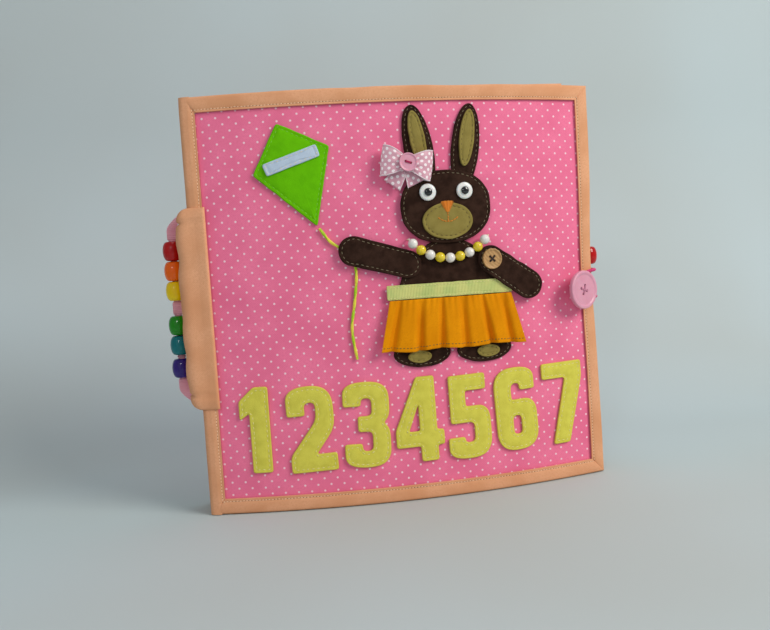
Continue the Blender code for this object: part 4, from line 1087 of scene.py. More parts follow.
@dataclass
class Cover:
    """A padded page: its dotted pad, its folded binding with mitred corners, and its stitches."""

    shop: Workshop
    panel: Panel
    node: str
    body: str
    seed: int
    sides: tuple[int, ...] = (1, -1)
    puff: float = 0.35 * MM
    wrinkle: float = 0.16 * MM
    stitch_pitch: float = 1.85 * MM

    def build(self) -> None:
        """Make the pad, the binding and the stitches of this page, and dark pieces of painted shade where the
        needle holes are.
        """
        sew, node = self.shop.sew, self.node
        pad = sew(node + "_pad", self.pad(), PINK_COTTON, self.body, "pink_cotton", [node], 35)
        sew(node + "_edge_binding", self.binding(), PEACH_COTTON, self.body, "peach_cotton",
            [node + "_binding"], 42)
        # The needle-hole pieces are painted shade inside the holes, not thread that the book has.
        for kind, finish, holes in (("_stitches", PEACH_THREAD, False), ("_needle_hole_shade", NEEDLE_HOLE_SHADE, True)):
            sew(node + kind, stacked(self.stitches(side, holes) for side in self.sides), finish, self.body)

    def pad(self) -> Patch:
        """The pad's cloth, front and back: it sinks to the binding as exp(-d/4 mm) and has slow wrinkles."""
        p, count = self.panel, 110
        rim = p.wall + GAP
        across, up = np.meshgrid(*(np.linspace(rim, size - rim, count) for size in (p.width, p.height)))
        sideways = np.minimum(across + (1 - p.narrow) * p.lip, p.width - across)
        edge = np.minimum(sideways, np.minimum(up, p.height - up)) - p.lip
        sink = self.puff * np.exp(-np.clip(edge, 0, None) / (4 * MM))
        faces = []
        for side in (1, -1):
            wrinkles = waves(across, up, self.seed + side, 46 * MM) - 0.4
            out = p.face - sink + self.wrinkle * np.clip(wrinkles, -1, 0.1) * (edge > 0)
            faces.append(grid(p.place(across, up, side * out), joined(across, up)))
        faces[1].quads = faces[1].quads[:, ::-1]
        made, index = stacked(faces), np.arange(count ** 2).reshape(count, count)
        loop = np.concatenate([index[0], index[1:, -1], index[-1, -2::-1], index[-2:0:-1, 0]])
        after = np.roll(loop, -1)
        made.quads = np.vstack([made.quads, joined(loop, loop + count ** 2, after + count ** 2, after)])
        return made.outward()

    def profile(self) -> Array:
        """Section of the folded strip: inset and height, from under the front lip round to the back's."""
        p = self.panel
        turn = np.linspace(0, pi / 2, 6)
        corner = joined(p.edge_round * (1 - np.sin(turn)), p.half - p.edge_round * (1 - np.cos(turn)))
        stops = np.array([0.0, 0.12, 0.6, 1.2, 1.6, 2.0, 2.6, 3.4, 4.6, 6.0]) * MM
        upper = joined(p.lip - stops[stops < p.lip - p.edge_round - 0.5 * MM], p.half)
        upper[0, 1] -= 0.25 * MM
        front = np.vstack([(p.wall, p.half - p.wall), (p.lip, p.half - p.wall), upper, corner])
        return np.vstack([front, front[::-1] * (1, -1)])

    def binding(self) -> Patch:
        """The strip round all four edges.

        Columns run along each side from one diagonal to the next. The lip's height gets a groove
        along the stitches, puckers of a few millimetres, a crease exp(-s/0.9 mm) along each diagonal
        and a step there, because the top and bottom strips are folded over the side strips.
        """
        p, profile = self.panel, self.profile()
        near = np.array([0, 0.3, 0.7, 1.2, 2.0, 3.0, 4.5, 6.5]) * MM
        corners, parts = np.array([(0, 0), (1, 0), (1, 1), (0, 1), (0, 0)]), []
        for index, (start, end) in enumerate(zip(corners, corners[1:])):
            length = (p.width, p.height)[index % 2]
            middle = np.linspace(9 * MM, length - 9 * MM, int(length / (2.6 * MM)))
            along = np.concatenate([near, middle, length - near[::-1]])
            x, y = (start + (end - start) * (along / length)[:, None]).T
            parts.append(joined(x, y, np.minimum(along, length - along), 1.0 - index % 2))
        parts = np.vstack(parts)
        square, run, fold = parts[:, :2], parts[:, 2], parts[:, 3]
        inset_by, out = profile[:, :1], profile[:, 1:]
        across = p.narrow * inset_by + (p.width - (1 + p.narrow) * inset_by) * square[:, 0]
        up = inset_by + (p.height - 2 * inset_by) * square[:, 1]
        onlip = np.clip((np.abs(out) - (p.half - p.wall)) / p.wall, 0, 1)
        inward = p.lip - inset_by
        groove = 0.22 * MM * np.exp(-((inward - 1.5 * MM) / (0.55 * MM)) ** 2)
        swell = 0.30 * MM * np.sin(np.clip((inward - 1.5 * MM) / (p.lip - 2 * MM), 0, 1) * pi)
        pucker = 0.10 * MM * waves(across, up, self.seed + 3, 7 * MM) * np.exp(-inward / (4 * MM))
        crease = 0.4 * MM * np.exp(-run / (0.9 * MM))
        step_up = 0.30 * MM * fold * np.exp(-run / (7 * MM))
        height = onlip * (swell - groove + pucker - crease + step_up)
        ripple = 0.35 * MM * waves(across, up, self.seed + 9, 60 * MM) * np.clip(run / (20 * MM), 0, 1)
        outer = np.clip(1 - inset_by / (2 * p.edge_round), 0, 1) * (np.abs(out) > p.half * 0.2)
        pulled = np.minimum(ripple, 0) * outer
        at_edge = np.trunc((2 * square - 1) * 1.0001)
        points = p.place(across + pulled * at_edge[:, 0], up + pulled * np.maximum(at_edge[:, 1], 0),
                         out + np.sign(out) * height)
        uv = joined(run_along(square * (p.width, p.height)), run_along(profile)[:, None])
        return grid(points, uv, wrap=True, ring=True)

    def stitches(self, side: int, holes: bool) -> Patch:
        """Machine stitches round the page, 1.5 mm in from the binding's inner edge.

        Args:
            side: 1 for the front and -1 for the back.
            holes: whether the needle holes' painted shade is made, as dark short pieces half a stitch further
                on.

        Returns:
            All the stitches, or the needle holes' painted shade, in one patch.
        """
        p = self.panel
        far, left = p.lip - 1.5 * MM, p.lip * p.narrow - 1.5 * MM
        right, top = p.width - far, p.height - far
        corners = np.array([(left, far), (right, far), (right, top), (left, top)])
        length, thick = (0.5 * MM, 0.34 * MM) if holes else (1.3 * MM, 0.42 * MM)
        return running_stitch(p, resampled(corners, 800), side * (p.half - 0.1 * MM), self.stitch_pitch,
                              length, thick, self.seed, back=side < 0, between=holes)


@dataclass
class Spine:
    """The cloth spine, the padded strap sewn round it, and the ribbon with its beads."""

    shop: Workshop
    strap_bottom: float = 62 * MM
    strap_height: float = 116 * MM
    strap_thick: float = 4 * MM
    bulge: float = 3 * MM
    flap_thick: float = 2 * MM
    reach: float = 8 * MM
    corner: float = 4.4 * MM
    ribbon_thick: float = 0.8 * MM
    standoff: float = 11 * MM
    run_in: float = 12 * MM
    bead_diameter: float = 12 * MM
    bead_length: float = 11.4 * MM
    bead_bore: float = 4.4 * MM
    bead_y: float = FRONT_FACE + 0.70 * (BACK_FACE - FRONT_FACE)
    spaces: dict[str, float] = field(default_factory=lambda: {
        "red": 17.5 * MM, "orange": 0.4 * MM, "yellow": 0.4 * MM, "green": 9 * MM, "teal": 0.4 * MM,
        "purple": 2.3 * MM})

    def build(self) -> None:
        """Make the spine, strap, ribbon and beads."""
        for side in Side:
            self.cloth(side)
            self.strap(side)
        self.shop.sew("bead_ribbon_cloth", self.ribbon(), BEAD_RIBBON, "spine", "pink_ribbon", ["bead_ribbon"])
        self.beads()

    def cloth(self, side: Side) -> None:
        """One half of the spine's cloth, from mid-spine round the corner to the binding's lip.

        Seen from above its inner line lies inside the spine, turns on a quarter circle and runs over
        the lip. The cloth thins over the turn as 1 - sin a, follows the lip's swell and sinks into it.
        """
        panel, bend, turn = side.panel, 1.7 * MM, np.linspace(0, pi / 2, 9)[1:-1]
        over = np.linspace(1.4 * MM, 4.3 * MM, 8)
        swell = 0.30 * MM * np.sin(pi * (panel.lip - over / panel.narrow - 1.5 * MM) / (panel.lip - 2 * MM))
        merge = 0.14 * MM - 0.2 * MM * ((over - over[0]) / np.ptp(over)) ** 2
        straight = np.linspace((BACK_FACE - FRONT_FACE) / 2, bend, 12)
        parts = ((SPINE_THICK, straight, 0.0, SPINE_THICK),
                 (SPINE_THICK + bend * (1 - np.cos(turn)), bend * (1 - np.sin(turn)), turn,
                  0.3 * MM + 1.5 * MM * (1 - np.sin(turn))),
                 (over + PANEL_LEFT - BOOK_LEFT, 0.05 * MM, pi / 2, swell.clip(0) + merge + 0.05 * MM))
        inward, deep, angle, thick = np.vstack([joined(*part) for part in parts]).T
        forward = panel.bow * (1 - (2 * np.clip(inward - 2.1 * MM, 0, None) / panel.width - 1) ** 2)
        z = np.linspace(0, COVER_HEIGHT, 60)[:, None]
        ripple = 1 + 0.09 * np.minimum(waves(run_along(joined(inward, deep)), z, 5 + side.value, 24 * MM), 0)
        surfaces = [joined(BOOK_LEFT + inward - off * np.cos(angle),
                           side.face - side.value * (deep - off * np.sin(angle) - forward), z)
                    for off in (thick * ripple, 0 * ripple)]
        piece = self.shop.sew(f"spine_cloth_{side.body}_half", wrapped(*surfaces), PEACH_COTTON, None,
                              "peach_cotton", ["spine_strip"], 60)
        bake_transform(piece)

    def strap_route(self, side: Side) -> tuple[Array, Array]:
        """Outer and inner line of one half of the strap, seen from above, as points of x and y.

        The inner line starts at the middle of the spine, turns round the book's corner on a quarter
        circle and ends on the cover. The outer one stands off by the thickness, which swells ahead of
        the beads, turns on a quarter ellipse, and lies on the flap.
        """
        inner_x, sign, small = BOOK_LEFT - GAP, side.value, 1.2 * MM
        face, middle = side.face + sign * GAP, (FRONT_FACE + BACK_FACE) / 2
        turn = np.linspace(0, pi / 2, 7)[1:]
        inner = [joined(inner_x, np.linspace(middle, face - sign * small, 14)),
                 joined(inner_x + small * (1 - np.cos(turn)), face - sign * small * (1 - np.sin(turn)))]
        end = face + sign * (self.flap_thick - self.corner)
        straight = np.linspace(middle, end, 14)
        share = np.clip((self.bead_y - self.bead_diameter / 6 - straight) / (5.5 * MM), 0, 1)
        thick = self.strap_thick + self.bulge * share ** 2 * (3 - 2 * share)
        outer = [joined(inner_x - thick, straight),
                 joined(inner_x - thick[-1] * np.cos(turn), end + sign * self.corner * np.sin(turn))]
        across = np.linspace(1.5 * MM, self.reach, 10)
        for line, off in ((inner, 0.0), (outer, self.flap_thick)):
            line.append(side.panel.place(across, 0.0, -sign * (side.panel.half + GAP + off))[:, :2])
        return np.vstack(outer), np.vstack(inner)

    def strap(self, side: Side) -> None:
        """One half of the strap, padded between its two lines.

        The outer surface keeps the share (1 - |t|^14)^(1/2) of its thickness up the strap, so that the
        top and bottom edges are soft folds. Grooves run along the stitches near them, the edges curve
        towards the middle as they go round the spine, and slow wrinkles lie over it all.
        """
        outer, inner = self.strap_route(side)
        rise = np.sin(np.linspace(-pi / 2, pi / 2, 48))[:, None]
        half, run = self.strap_height / 2, run_along(outer)
        z = self.strap_bottom + half * (1 + rise)
        ends = np.clip((run[-1] - run) / (1.1 * MM), 0, 1) ** 0.5
        fold = 0.25 + 0.75 * (1 - np.abs(rise) ** 14) ** 0.5
        seam = 1 - 0.28 * np.exp(-((half * (1 - np.abs(rise)) - 8 * MM) / (0.9 * MM)) ** 2)
        wrinkle = 1 + 0.09 * waves(run, z, 21 + side.value, 26 * MM)
        share = np.clip(fold * seam, 0, 1) * np.minimum(wrinkle, 1.06) * (0.3 + 0.7 * ends)
        curve = np.concatenate([np.ones(14), np.linspace(1, 0.2, 6), np.zeros(10)])
        flat = inner + (outer - inner) * share[..., None]
        tall = z - 2.2 * MM * rise ** 9 * curve * np.clip(share, 0, 1)
        cloth = wrapped(joined(flat[..., 0], flat[..., 1], tall), joined(*inner.T, z))
        piece = self.shop.sew(f"strap_{side.body}_half", cloth, PEACH_COTTON, None, "peach_cotton",
                              ["spine_strap"], 60)
        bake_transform(piece)

    def ribbon(self) -> Patch:
        """The bead ribbon: 5.6 mm wide between the beads and drawn in to 3.4 mm inside each bead.

        Its centre line goes out from the strap's end as sin(pi t / 2), straight down beside it, and back
        in, and its ends narrow to a seam inside the strap. The section is a shallow trough, which the
        ribbon curls into where the bores squeeze it.
        """
        top = self.strap_bottom + self.strap_height
        z = np.linspace(self.strap_bottom + 1 * MM, top - 1 * MM, 220)[:, None]
        near = np.minimum(z - self.strap_bottom, top - z)
        sewn = BOOK_LEFT - GAP - self.strap_thick / 2
        turn = np.sin(pi / 2 * np.clip(near / self.run_in, 0, 1))
        x = sewn + (BOOK_LEFT - self.standoff - sewn) * turn
        bead = np.max([np.clip(np.minimum(z - (low - 1.4 * MM), (high + 1.4 * MM) - z) / (1.6 * MM), 0, 1)
                       for low, high in self.bead_spans().values()], axis=0)
        ends = np.clip(near / (9 * MM), 0, 1)
        width = 2.4 * MM + 3.2 * MM * ends - 2.2 * MM * bead * ends
        across = np.linspace(-1, 1, 9)
        y = self.bead_y + 0.9 * MM * (bead * 0.8 + 0.15) * across ** 2
        lower, upper = (joined(x + width / 2 * across, y + share * self.ribbon_thick, z)
                        for share in (-0.35, 0.35))
        uv = joined(z, np.concatenate([across, across[::-1]]) * 3 * MM)
        return grid(np.concatenate([lower, upper[:, ::-1]], 1), uv, wrap=True, caps=True)

    def bead_spans(self) -> dict[str, Pair]:
        """Lowest and highest point of each bead, stacked down from the strap's top."""
        spans, top = {}, self.strap_bottom + self.strap_height
        for colour, space in self.spaces.items():
            spans[colour] = (top - space - self.bead_length, top - space)
            top -= space + self.bead_length
        return spans

    def beads(self) -> None:
        """Six turned beads: barrel sides between two flats, and a bore with rounded lips."""
        for colour, (low, high) in self.bead_spans().items():
            bead = bead_patch(self.bead_diameter, self.bead_length, self.bead_bore, 0.8 * MM)
            at = (BOOK_LEFT - self.standoff, self.bead_y, (low + high) / 2)
            self.shop.sew(f"wooden_bead_{colour}", moved(bead, at, (0, 0, 1)), lacquer(colour),
                          f"{colour}_bead", f"bead_{colour}_paint", [f"bead_{colour}"], 60)


@dataclass
class Closing:
    """Closing button that leans on its thread shank, and the elastic loop with its bead."""

    shop: Workshop
    panel: Panel = field(default_factory=lambda: replace(FRONT, dent=0.0))
    diameter: float = 23.4 * MM
    thick: float = 3 * MM
    dish: float = 0.6 * MM
    pitch: float = 3.9 * MM
    across: float = PANEL_WIDTH - 13.5 * MM
    height: float = 115.8 * MM
    tilt: float = radians(14)
    spin: float = radians(26)
    shank: float = 3.6 * MM
    elastic: float = 2 * MM
    rise: float = 11.5 * MM
    fall: float = 5 * MM
    bead_diameter: float = 12 * MM
    bead_length: float = 11.4 * MM
    bead_bore: float = 4 * MM
    bead_height: float = 136 * MM

    @property
    def elastic_out(self) -> float:
        """Height of the elastic's middle over the front cover's middle plane."""
        return FRONT.half + GAP + self.elastic / 2

    @property
    def button_out(self) -> float:
        """Height of the button's underside there, so that its low side clears the elastic."""
        return self.elastic_out + self.elastic / 2 + GAP + self.diameter / 2 * sin(self.tilt)

    def build(self) -> None:
        """Make the button, its threads, the elastic and the bead."""
        slope = float(self.panel.slope(self.across))
        lean, spin = slope + self.tilt, self.spin
        at = self.panel.place(self.across, self.height, self.button_out)
        ahead = (sin(lean), -cos(lean), 0)
        tip = (-sin(spin) * cos(lean), -sin(spin) * sin(lean), cos(spin))
        button = sewing_button(self.diameter / 2, self.thick, 2.4 * MM, self.dish, 0.8 * MM, self.pitch)
        self.shop.sew("closing_button_disc", moved(button, at, ahead, tip), PINK_PLASTIC, "front",
                      "pink_plastic", ["closing_button"], 40, weld=True)
        thread = crossed(self.pitch, self.thick - self.dish, 3 * MM)
        height = (self.button_out - FIRST) * cos(slope)
        below = (height - self.shank / 2 * sin(self.tilt)) / cos(self.tilt)
        for angle in np.linspace(0, tau, 5, endpoint=False):
            x, y = self.shank * 0.3 * cos(angle), self.shank * 0.3 * sin(angle)
            thread.append(tube_patch(joined(x, y, -below * np.linspace(0, 1, 8)), 0.65 * MM, 8))
        self.shop.sew("closing_button_thread", moved(stacked(thread), at, ahead, tip), ROSE_THREAD, "front",
                      sharp=60)
        self.loop()

    def loop(self) -> None:
        """The elastic loop, which rides on the back cover, and its bead."""
        cord = tube_patch(self.route(), self.elastic / 2, 14)
        piece = self.shop.sew("elastic_loop_cord", cord, PINK_ELASTIC, "back", "hot_pink_elastic",
                              ["elastic_loop"], 60)
        bead = BACK.place(PANEL_WIDTH + GAP + self.bead_diameter / 2, self.bead_height, 0.0)
        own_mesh(piece)
        wood = bead_patch(self.bead_diameter, self.bead_length, self.bead_bore, 1 * MM)
        self.shop.sew("loop_bead_wood", moved(wood, bead, (0, 0, 1)), lacquer("red"), "back", "bead_red_paint",
                      ["loop_bead"], 60)

    def route(self) -> Array:
        """The CAD model's route: from the back cover's edge through the bead, round the shank and back."""
        d, mid, left, out = self.elastic, FRONT.middle, PANEL_LEFT, self.elastic_out
        edge = PANEL_WIDTH + GAP + d / 2
        bead = PANEL_WIDTH + GAP + self.bead_diameter / 2
        half = self.bead_length / 2 + d
        slope = float(self.panel.slope(self.across))
        lean = slope + self.tilt
        run = (self.button_out - out) / (cos(lean) + tan(slope) * sin(lean))
        shank = self.across - run * sin(lean)
        turn = self.shank / 2 / cos(self.tilt) + GAP + d / 2 * (1 + tan(self.tilt))
        top, low = self.height + self.rise, self.height - self.fall
        at_top, at_low = (float(FRONT.place(edge, up, 0.0)[0]) for up in (top, low))

        def flank(share: float, level: float, bend: float) -> Array:
            """A place between the edge and the shank, whose height bends as the share squared."""
            return FRONT.place(edge + (shank - edge) * share, level + bend * share ** 2, out)

        high = self.bead_height + half
        route = [(left + PANEL_WIDTH + GAP, 0, high + d), (left + bead - d, 0, high + d),
                 (left + bead, 0, high), (left + bead, 0, self.bead_height), (left + bead, 0, high - 2 * half),
                 (left + (bead + edge) / 2, mid / 3, top), ((left + edge + at_top) / 2, mid * 2 / 3, top),
                 (at_top, mid - out, top)]
        route += [flank(share, top, turn - self.rise) for share in (0.35, 0.7)]
        route += [self.panel.place(shank + turn * cos(angle), self.height + turn * sin(angle), out)
                  for angle in np.linspace(pi / 2, pi * 3 / 2, 5)]
        route += [flank(share, low, self.fall - turn) for share in (0.7, 0.35)]
        route += [(at_low, mid - out, low), ((left + edge + at_low) / 2, mid / 2, low), (left + edge, 0, low)]
        return smooth_route(np.array(route), 0.8 * MM)


@dataclass
class Rabbit:
    """The felt rabbit: layered pieces with running stitches, button eyes, and two arms."""

    shop: Workshop
    head_width: float = 54 * MM
    ear_spread: float = 14 * MM
    ear_size: Pair = (17 * MM, 50 * MM)
    ear_tuck: float = 12 * MM
    ear_lean: float = radians(9)
    lining_size: Pair = (9 * MM, 33 * MM)
    lining_border: float = 3.5 * MM
    muzzle: Pair = (FIGURE_ACROSS, HEAD_UP - HEAD_HEIGHT / 5)
    muzzle_size: Pair = (30 * MM, 21 * MM)
    foot_size: Pair = (34 * MM, 16 * MM)
    foot_spread: float = 19 * MM
    foot_up: float = 86 * MM
    eye_spread: float = 11 * MM

    def build(self) -> None:
        """Make the rabbit, from the lowest layer of felt to the highest."""
        x, olive = FIGURE_ACROSS, (OLIVE_FELT, DARK_THREAD)
        body = ellipse((x, BODY_UP), 70 * MM, 60 * MM, narrow=0.25, count=200)
        self.felt("body", body, FIRST, "body_felt", 1)
        head = ellipse((x, HEAD_UP), self.head_width, HEAD_HEIGHT, power=2.3, count=180)
        self.felt("head", head, SECOND, "head_felt", 2)
        self.felt("muzzle", ellipse(self.muzzle, *self.muzzle_size), THIRD, "muzzle_felt", 3, *olive)
        for number, (side, sign) in enumerate((("left", -1), ("right", 1))):
            self.ear(side, sign, 4 + number)
            foot = (x + sign * self.foot_spread, self.foot_up)
            self.felt(f"foot_{side}", ellipse(foot, *self.foot_size), FIRST, f"foot_{side}", 8 + number)
            sole = ellipse((foot[0] + sign * 2 * MM, foot[1] - 1.5 * MM), 14 * MM, 7.4 * MM)
            self.felt(f"sole_{side}", sole, FIRST + LAYER, None, 10 + number, *olive, 1.1 * MM, 1.3 * MM)
            self.eye(side, x + sign * self.eye_spread, HEAD_UP + HEAD_HEIGHT / 5)
        raised = limb((x - SHOULDER_SPREAD, SHOULDER_UP), ARM_LENGTH, RAISED)
        self.felt("raised_arm", raised, ARM_LAYER, "raised_arm", 12)
        self.swing_arm()
        self.nose()

    def felt(self, name: str, outline: Array, base: float, node: str | None, seed: int,
             finish: Felt = BROWN_FELT, thread: Strand = TAN_THREAD, thick: float = FELT,
             inset_by: float = STITCH_INSET) -> None:
        """Make one felt piece on the front cover, and the stitches near its edge.

        Args:
            name: what it is.
            outline: its outline, across and up.
            base: height of its underside over the middle plane.
            node: the CAD node that it stands for.
            seed: seed of its unevenness.
            finish: its felt.
            thread: its thread.
            thick: its thickness.
            inset_by: how far in the stitches run.
        """
        self.shop.sew(f"{name}_piece", felt_patch(FRONT, outline, base, thick, seed), finish, "front",
                      FELT_SLOTS[finish], [node] if node else [], 60)
        line = resampled(inset(outline, inset_by), 400)
        gauge = (0.32 if finish is BROWN_FELT else 0.42) * MM
        stitches = running_stitch(FRONT, line, base + thick - 0.2 * MM, thick=gauge, seed=seed)
        self.shop.sew(f"{name}_stitches", stitches, thread, "front")

    def ear(self, side: str, sign: int, seed: int) -> None:
        """One ear, leaning out, and the lining sewn inside it near its tip."""
        width, length = self.ear_size
        middle = (FIGURE_ACROSS + sign * self.ear_spread, HEAD_TOP + length / 2 - self.ear_tuck)
        lean = -sign * self.ear_lean
        self.felt(f"ear_{side}", ellipse(middle, width, length, lean), FIRST, f"ear_{side}", seed,
                  inset_by=1.6 * MM)
        higher = (length - self.lining_size[1]) / 2 - self.lining_border
        place = (middle[0] - higher * sin(lean), middle[1] + higher * cos(lean))
        self.felt(f"lining_{side}", ellipse(place, *self.lining_size, lean), SECOND, f"ear_lining_{side}",
                  seed + 2, OLIVE_FELT, DARK_THREAD, inset_by=1.4 * MM)

    def eye(self, side: str, across: float, up: float) -> None:
        """A white domed button, and the black pupil that stands on its top."""
        thick, radius, pupil, pole = 2 * MM, 5 * MM, 2.3 * MM, 0.02 * MM
        white = round_profile((pole, thick, 0), (pupil + 0.5 * MM, thick, 0.5 * MM),
                              (radius - 0.5 * MM, thick * 0.85, 1.2 * MM), (radius, thick * 0.35, 0.8 * MM),
                              (radius - 0.4 * MM, 0, 0.5 * MM), (pole, 0, 0))
        angle = np.linspace(0, pi / 2, 12)
        dome = joined(pupil * np.sin(np.linspace(0.01, pi / 2, 12)), 1.2 * MM * np.cos(angle) ** 0.8)
        dome = np.vstack([dome, (pupil * 0.98, -0.2 * MM), (pole, -0.2 * MM)])
        for name, profile, steps, out, finish, slot, node in (
                ("eye_button", white, 48, THIRD, WHITE_PLASTIC, "white_plastic", "eye"),
                ("pupil_dome", dome, 40, THIRD + thick + GAP, BLACK_PLASTIC, "black_plastic", "pupil")):
            patch = moved(turned_patch(profile, steps), FRONT.place(across, up, out), FRONT.normal(across))
            self.shop.sew(f"{name}_{side}", patch, finish, "front", slot, [f"{node}_{side}"], 60)

    def nose(self) -> None:
        """A satin-stitched nose, rows of floss that narrow downward, and a line and smile in back stitch."""
        x, top = self.muzzle[0], self.muzzle[1] + self.muzzle_size[1] / 2 + 0.5 * MM
        rows = np.arange(13)
        wide = (9.0 - rows * 0.55) * MM * np.where(rows < 2, 0.80 + 0.13 * rows, 1)
        normal = FRONT.normal(np.full(13, x))
        parts = [stitch_patch(FRONT.place(x, top - rows * 0.48 * MM, THIRD + FELT + 0.30 * MM),
                              np.cross((0.0, 0.0, 1.0), normal), normal, wide, 0.62 * MM)]
        t, drop = np.linspace(0, 1, 30), top - 6.2 * MM
        smile = joined(x + 6.0 * MM * (2 * t - 1), drop - 5.2 * MM + 2.4 * MM * (2 * t - 1) ** 2)
        for line in (joined(x, drop - 5.2 * MM * t), smile):
            parts.append(running_stitch(FRONT, line, THIRD + FELT + 0.22 * MM, 2.0 * MM, 1.9 * MM, 0.6 * MM, 4,
                                        closed=False))
        self.shop.sew("nose_stitches", stacked(parts), ORANGE_FLOSS, "front")

    def swing_arm(self) -> None:
        """The arm that turns about its wooden button: flat felt at the cover's slope."""
        across = FIGURE_ACROSS + SHOULDER_SPREAD
        ahead, turn = FRONT.normal(across), np.eye(3)
        turn[:2, :2] = spun(float(FRONT.slope(across)))
        outline = limb((0, 0), 28.5 * MM, radians(-35))
        line = resampled(inset(outline, STITCH_INSET), 300)
        arm = felt_patch(FLAT, outline, 0.0, FELT, 13, puff=0.1 * MM)
        thread = running_stitch(FLAT, line, FELT - 0.2 * MM, thick=0.32 * MM, seed=13)
        for patch in (arm, thread):
            patch.verts = patch.verts @ turn + FRONT.place(across, SHOULDER_UP, SWING_LAYER)
        self.shop.sew("swing_arm_piece", arm, BROWN_FELT, "arm", "brown_felt", ["swing_arm"], 60)
        self.shop.sew("swing_arm_stitches", thread, TAN_THREAD, "arm")
        at = FRONT.place(across, SHOULDER_UP, SWING_LAYER + FELT + GAP)
        pitch, thick = 2.6 * MM, 2.4 * MM
        button = sewing_button(6 * MM, thick, 1.4 * MM, thick / 4, 0.7 * MM, pitch)
        self.shop.sew("arm_button_wood", moved(button, at, ahead), BUTTON_WOOD, "front", "light_wood",
                      ["arm_button"], 40, weld=True)
        bars = stacked(crossed(pitch, thick * 0.75, thick))
        self.shop.sew("arm_button_thread", moved(bars, at, ahead), BROWN_THREAD, "front")


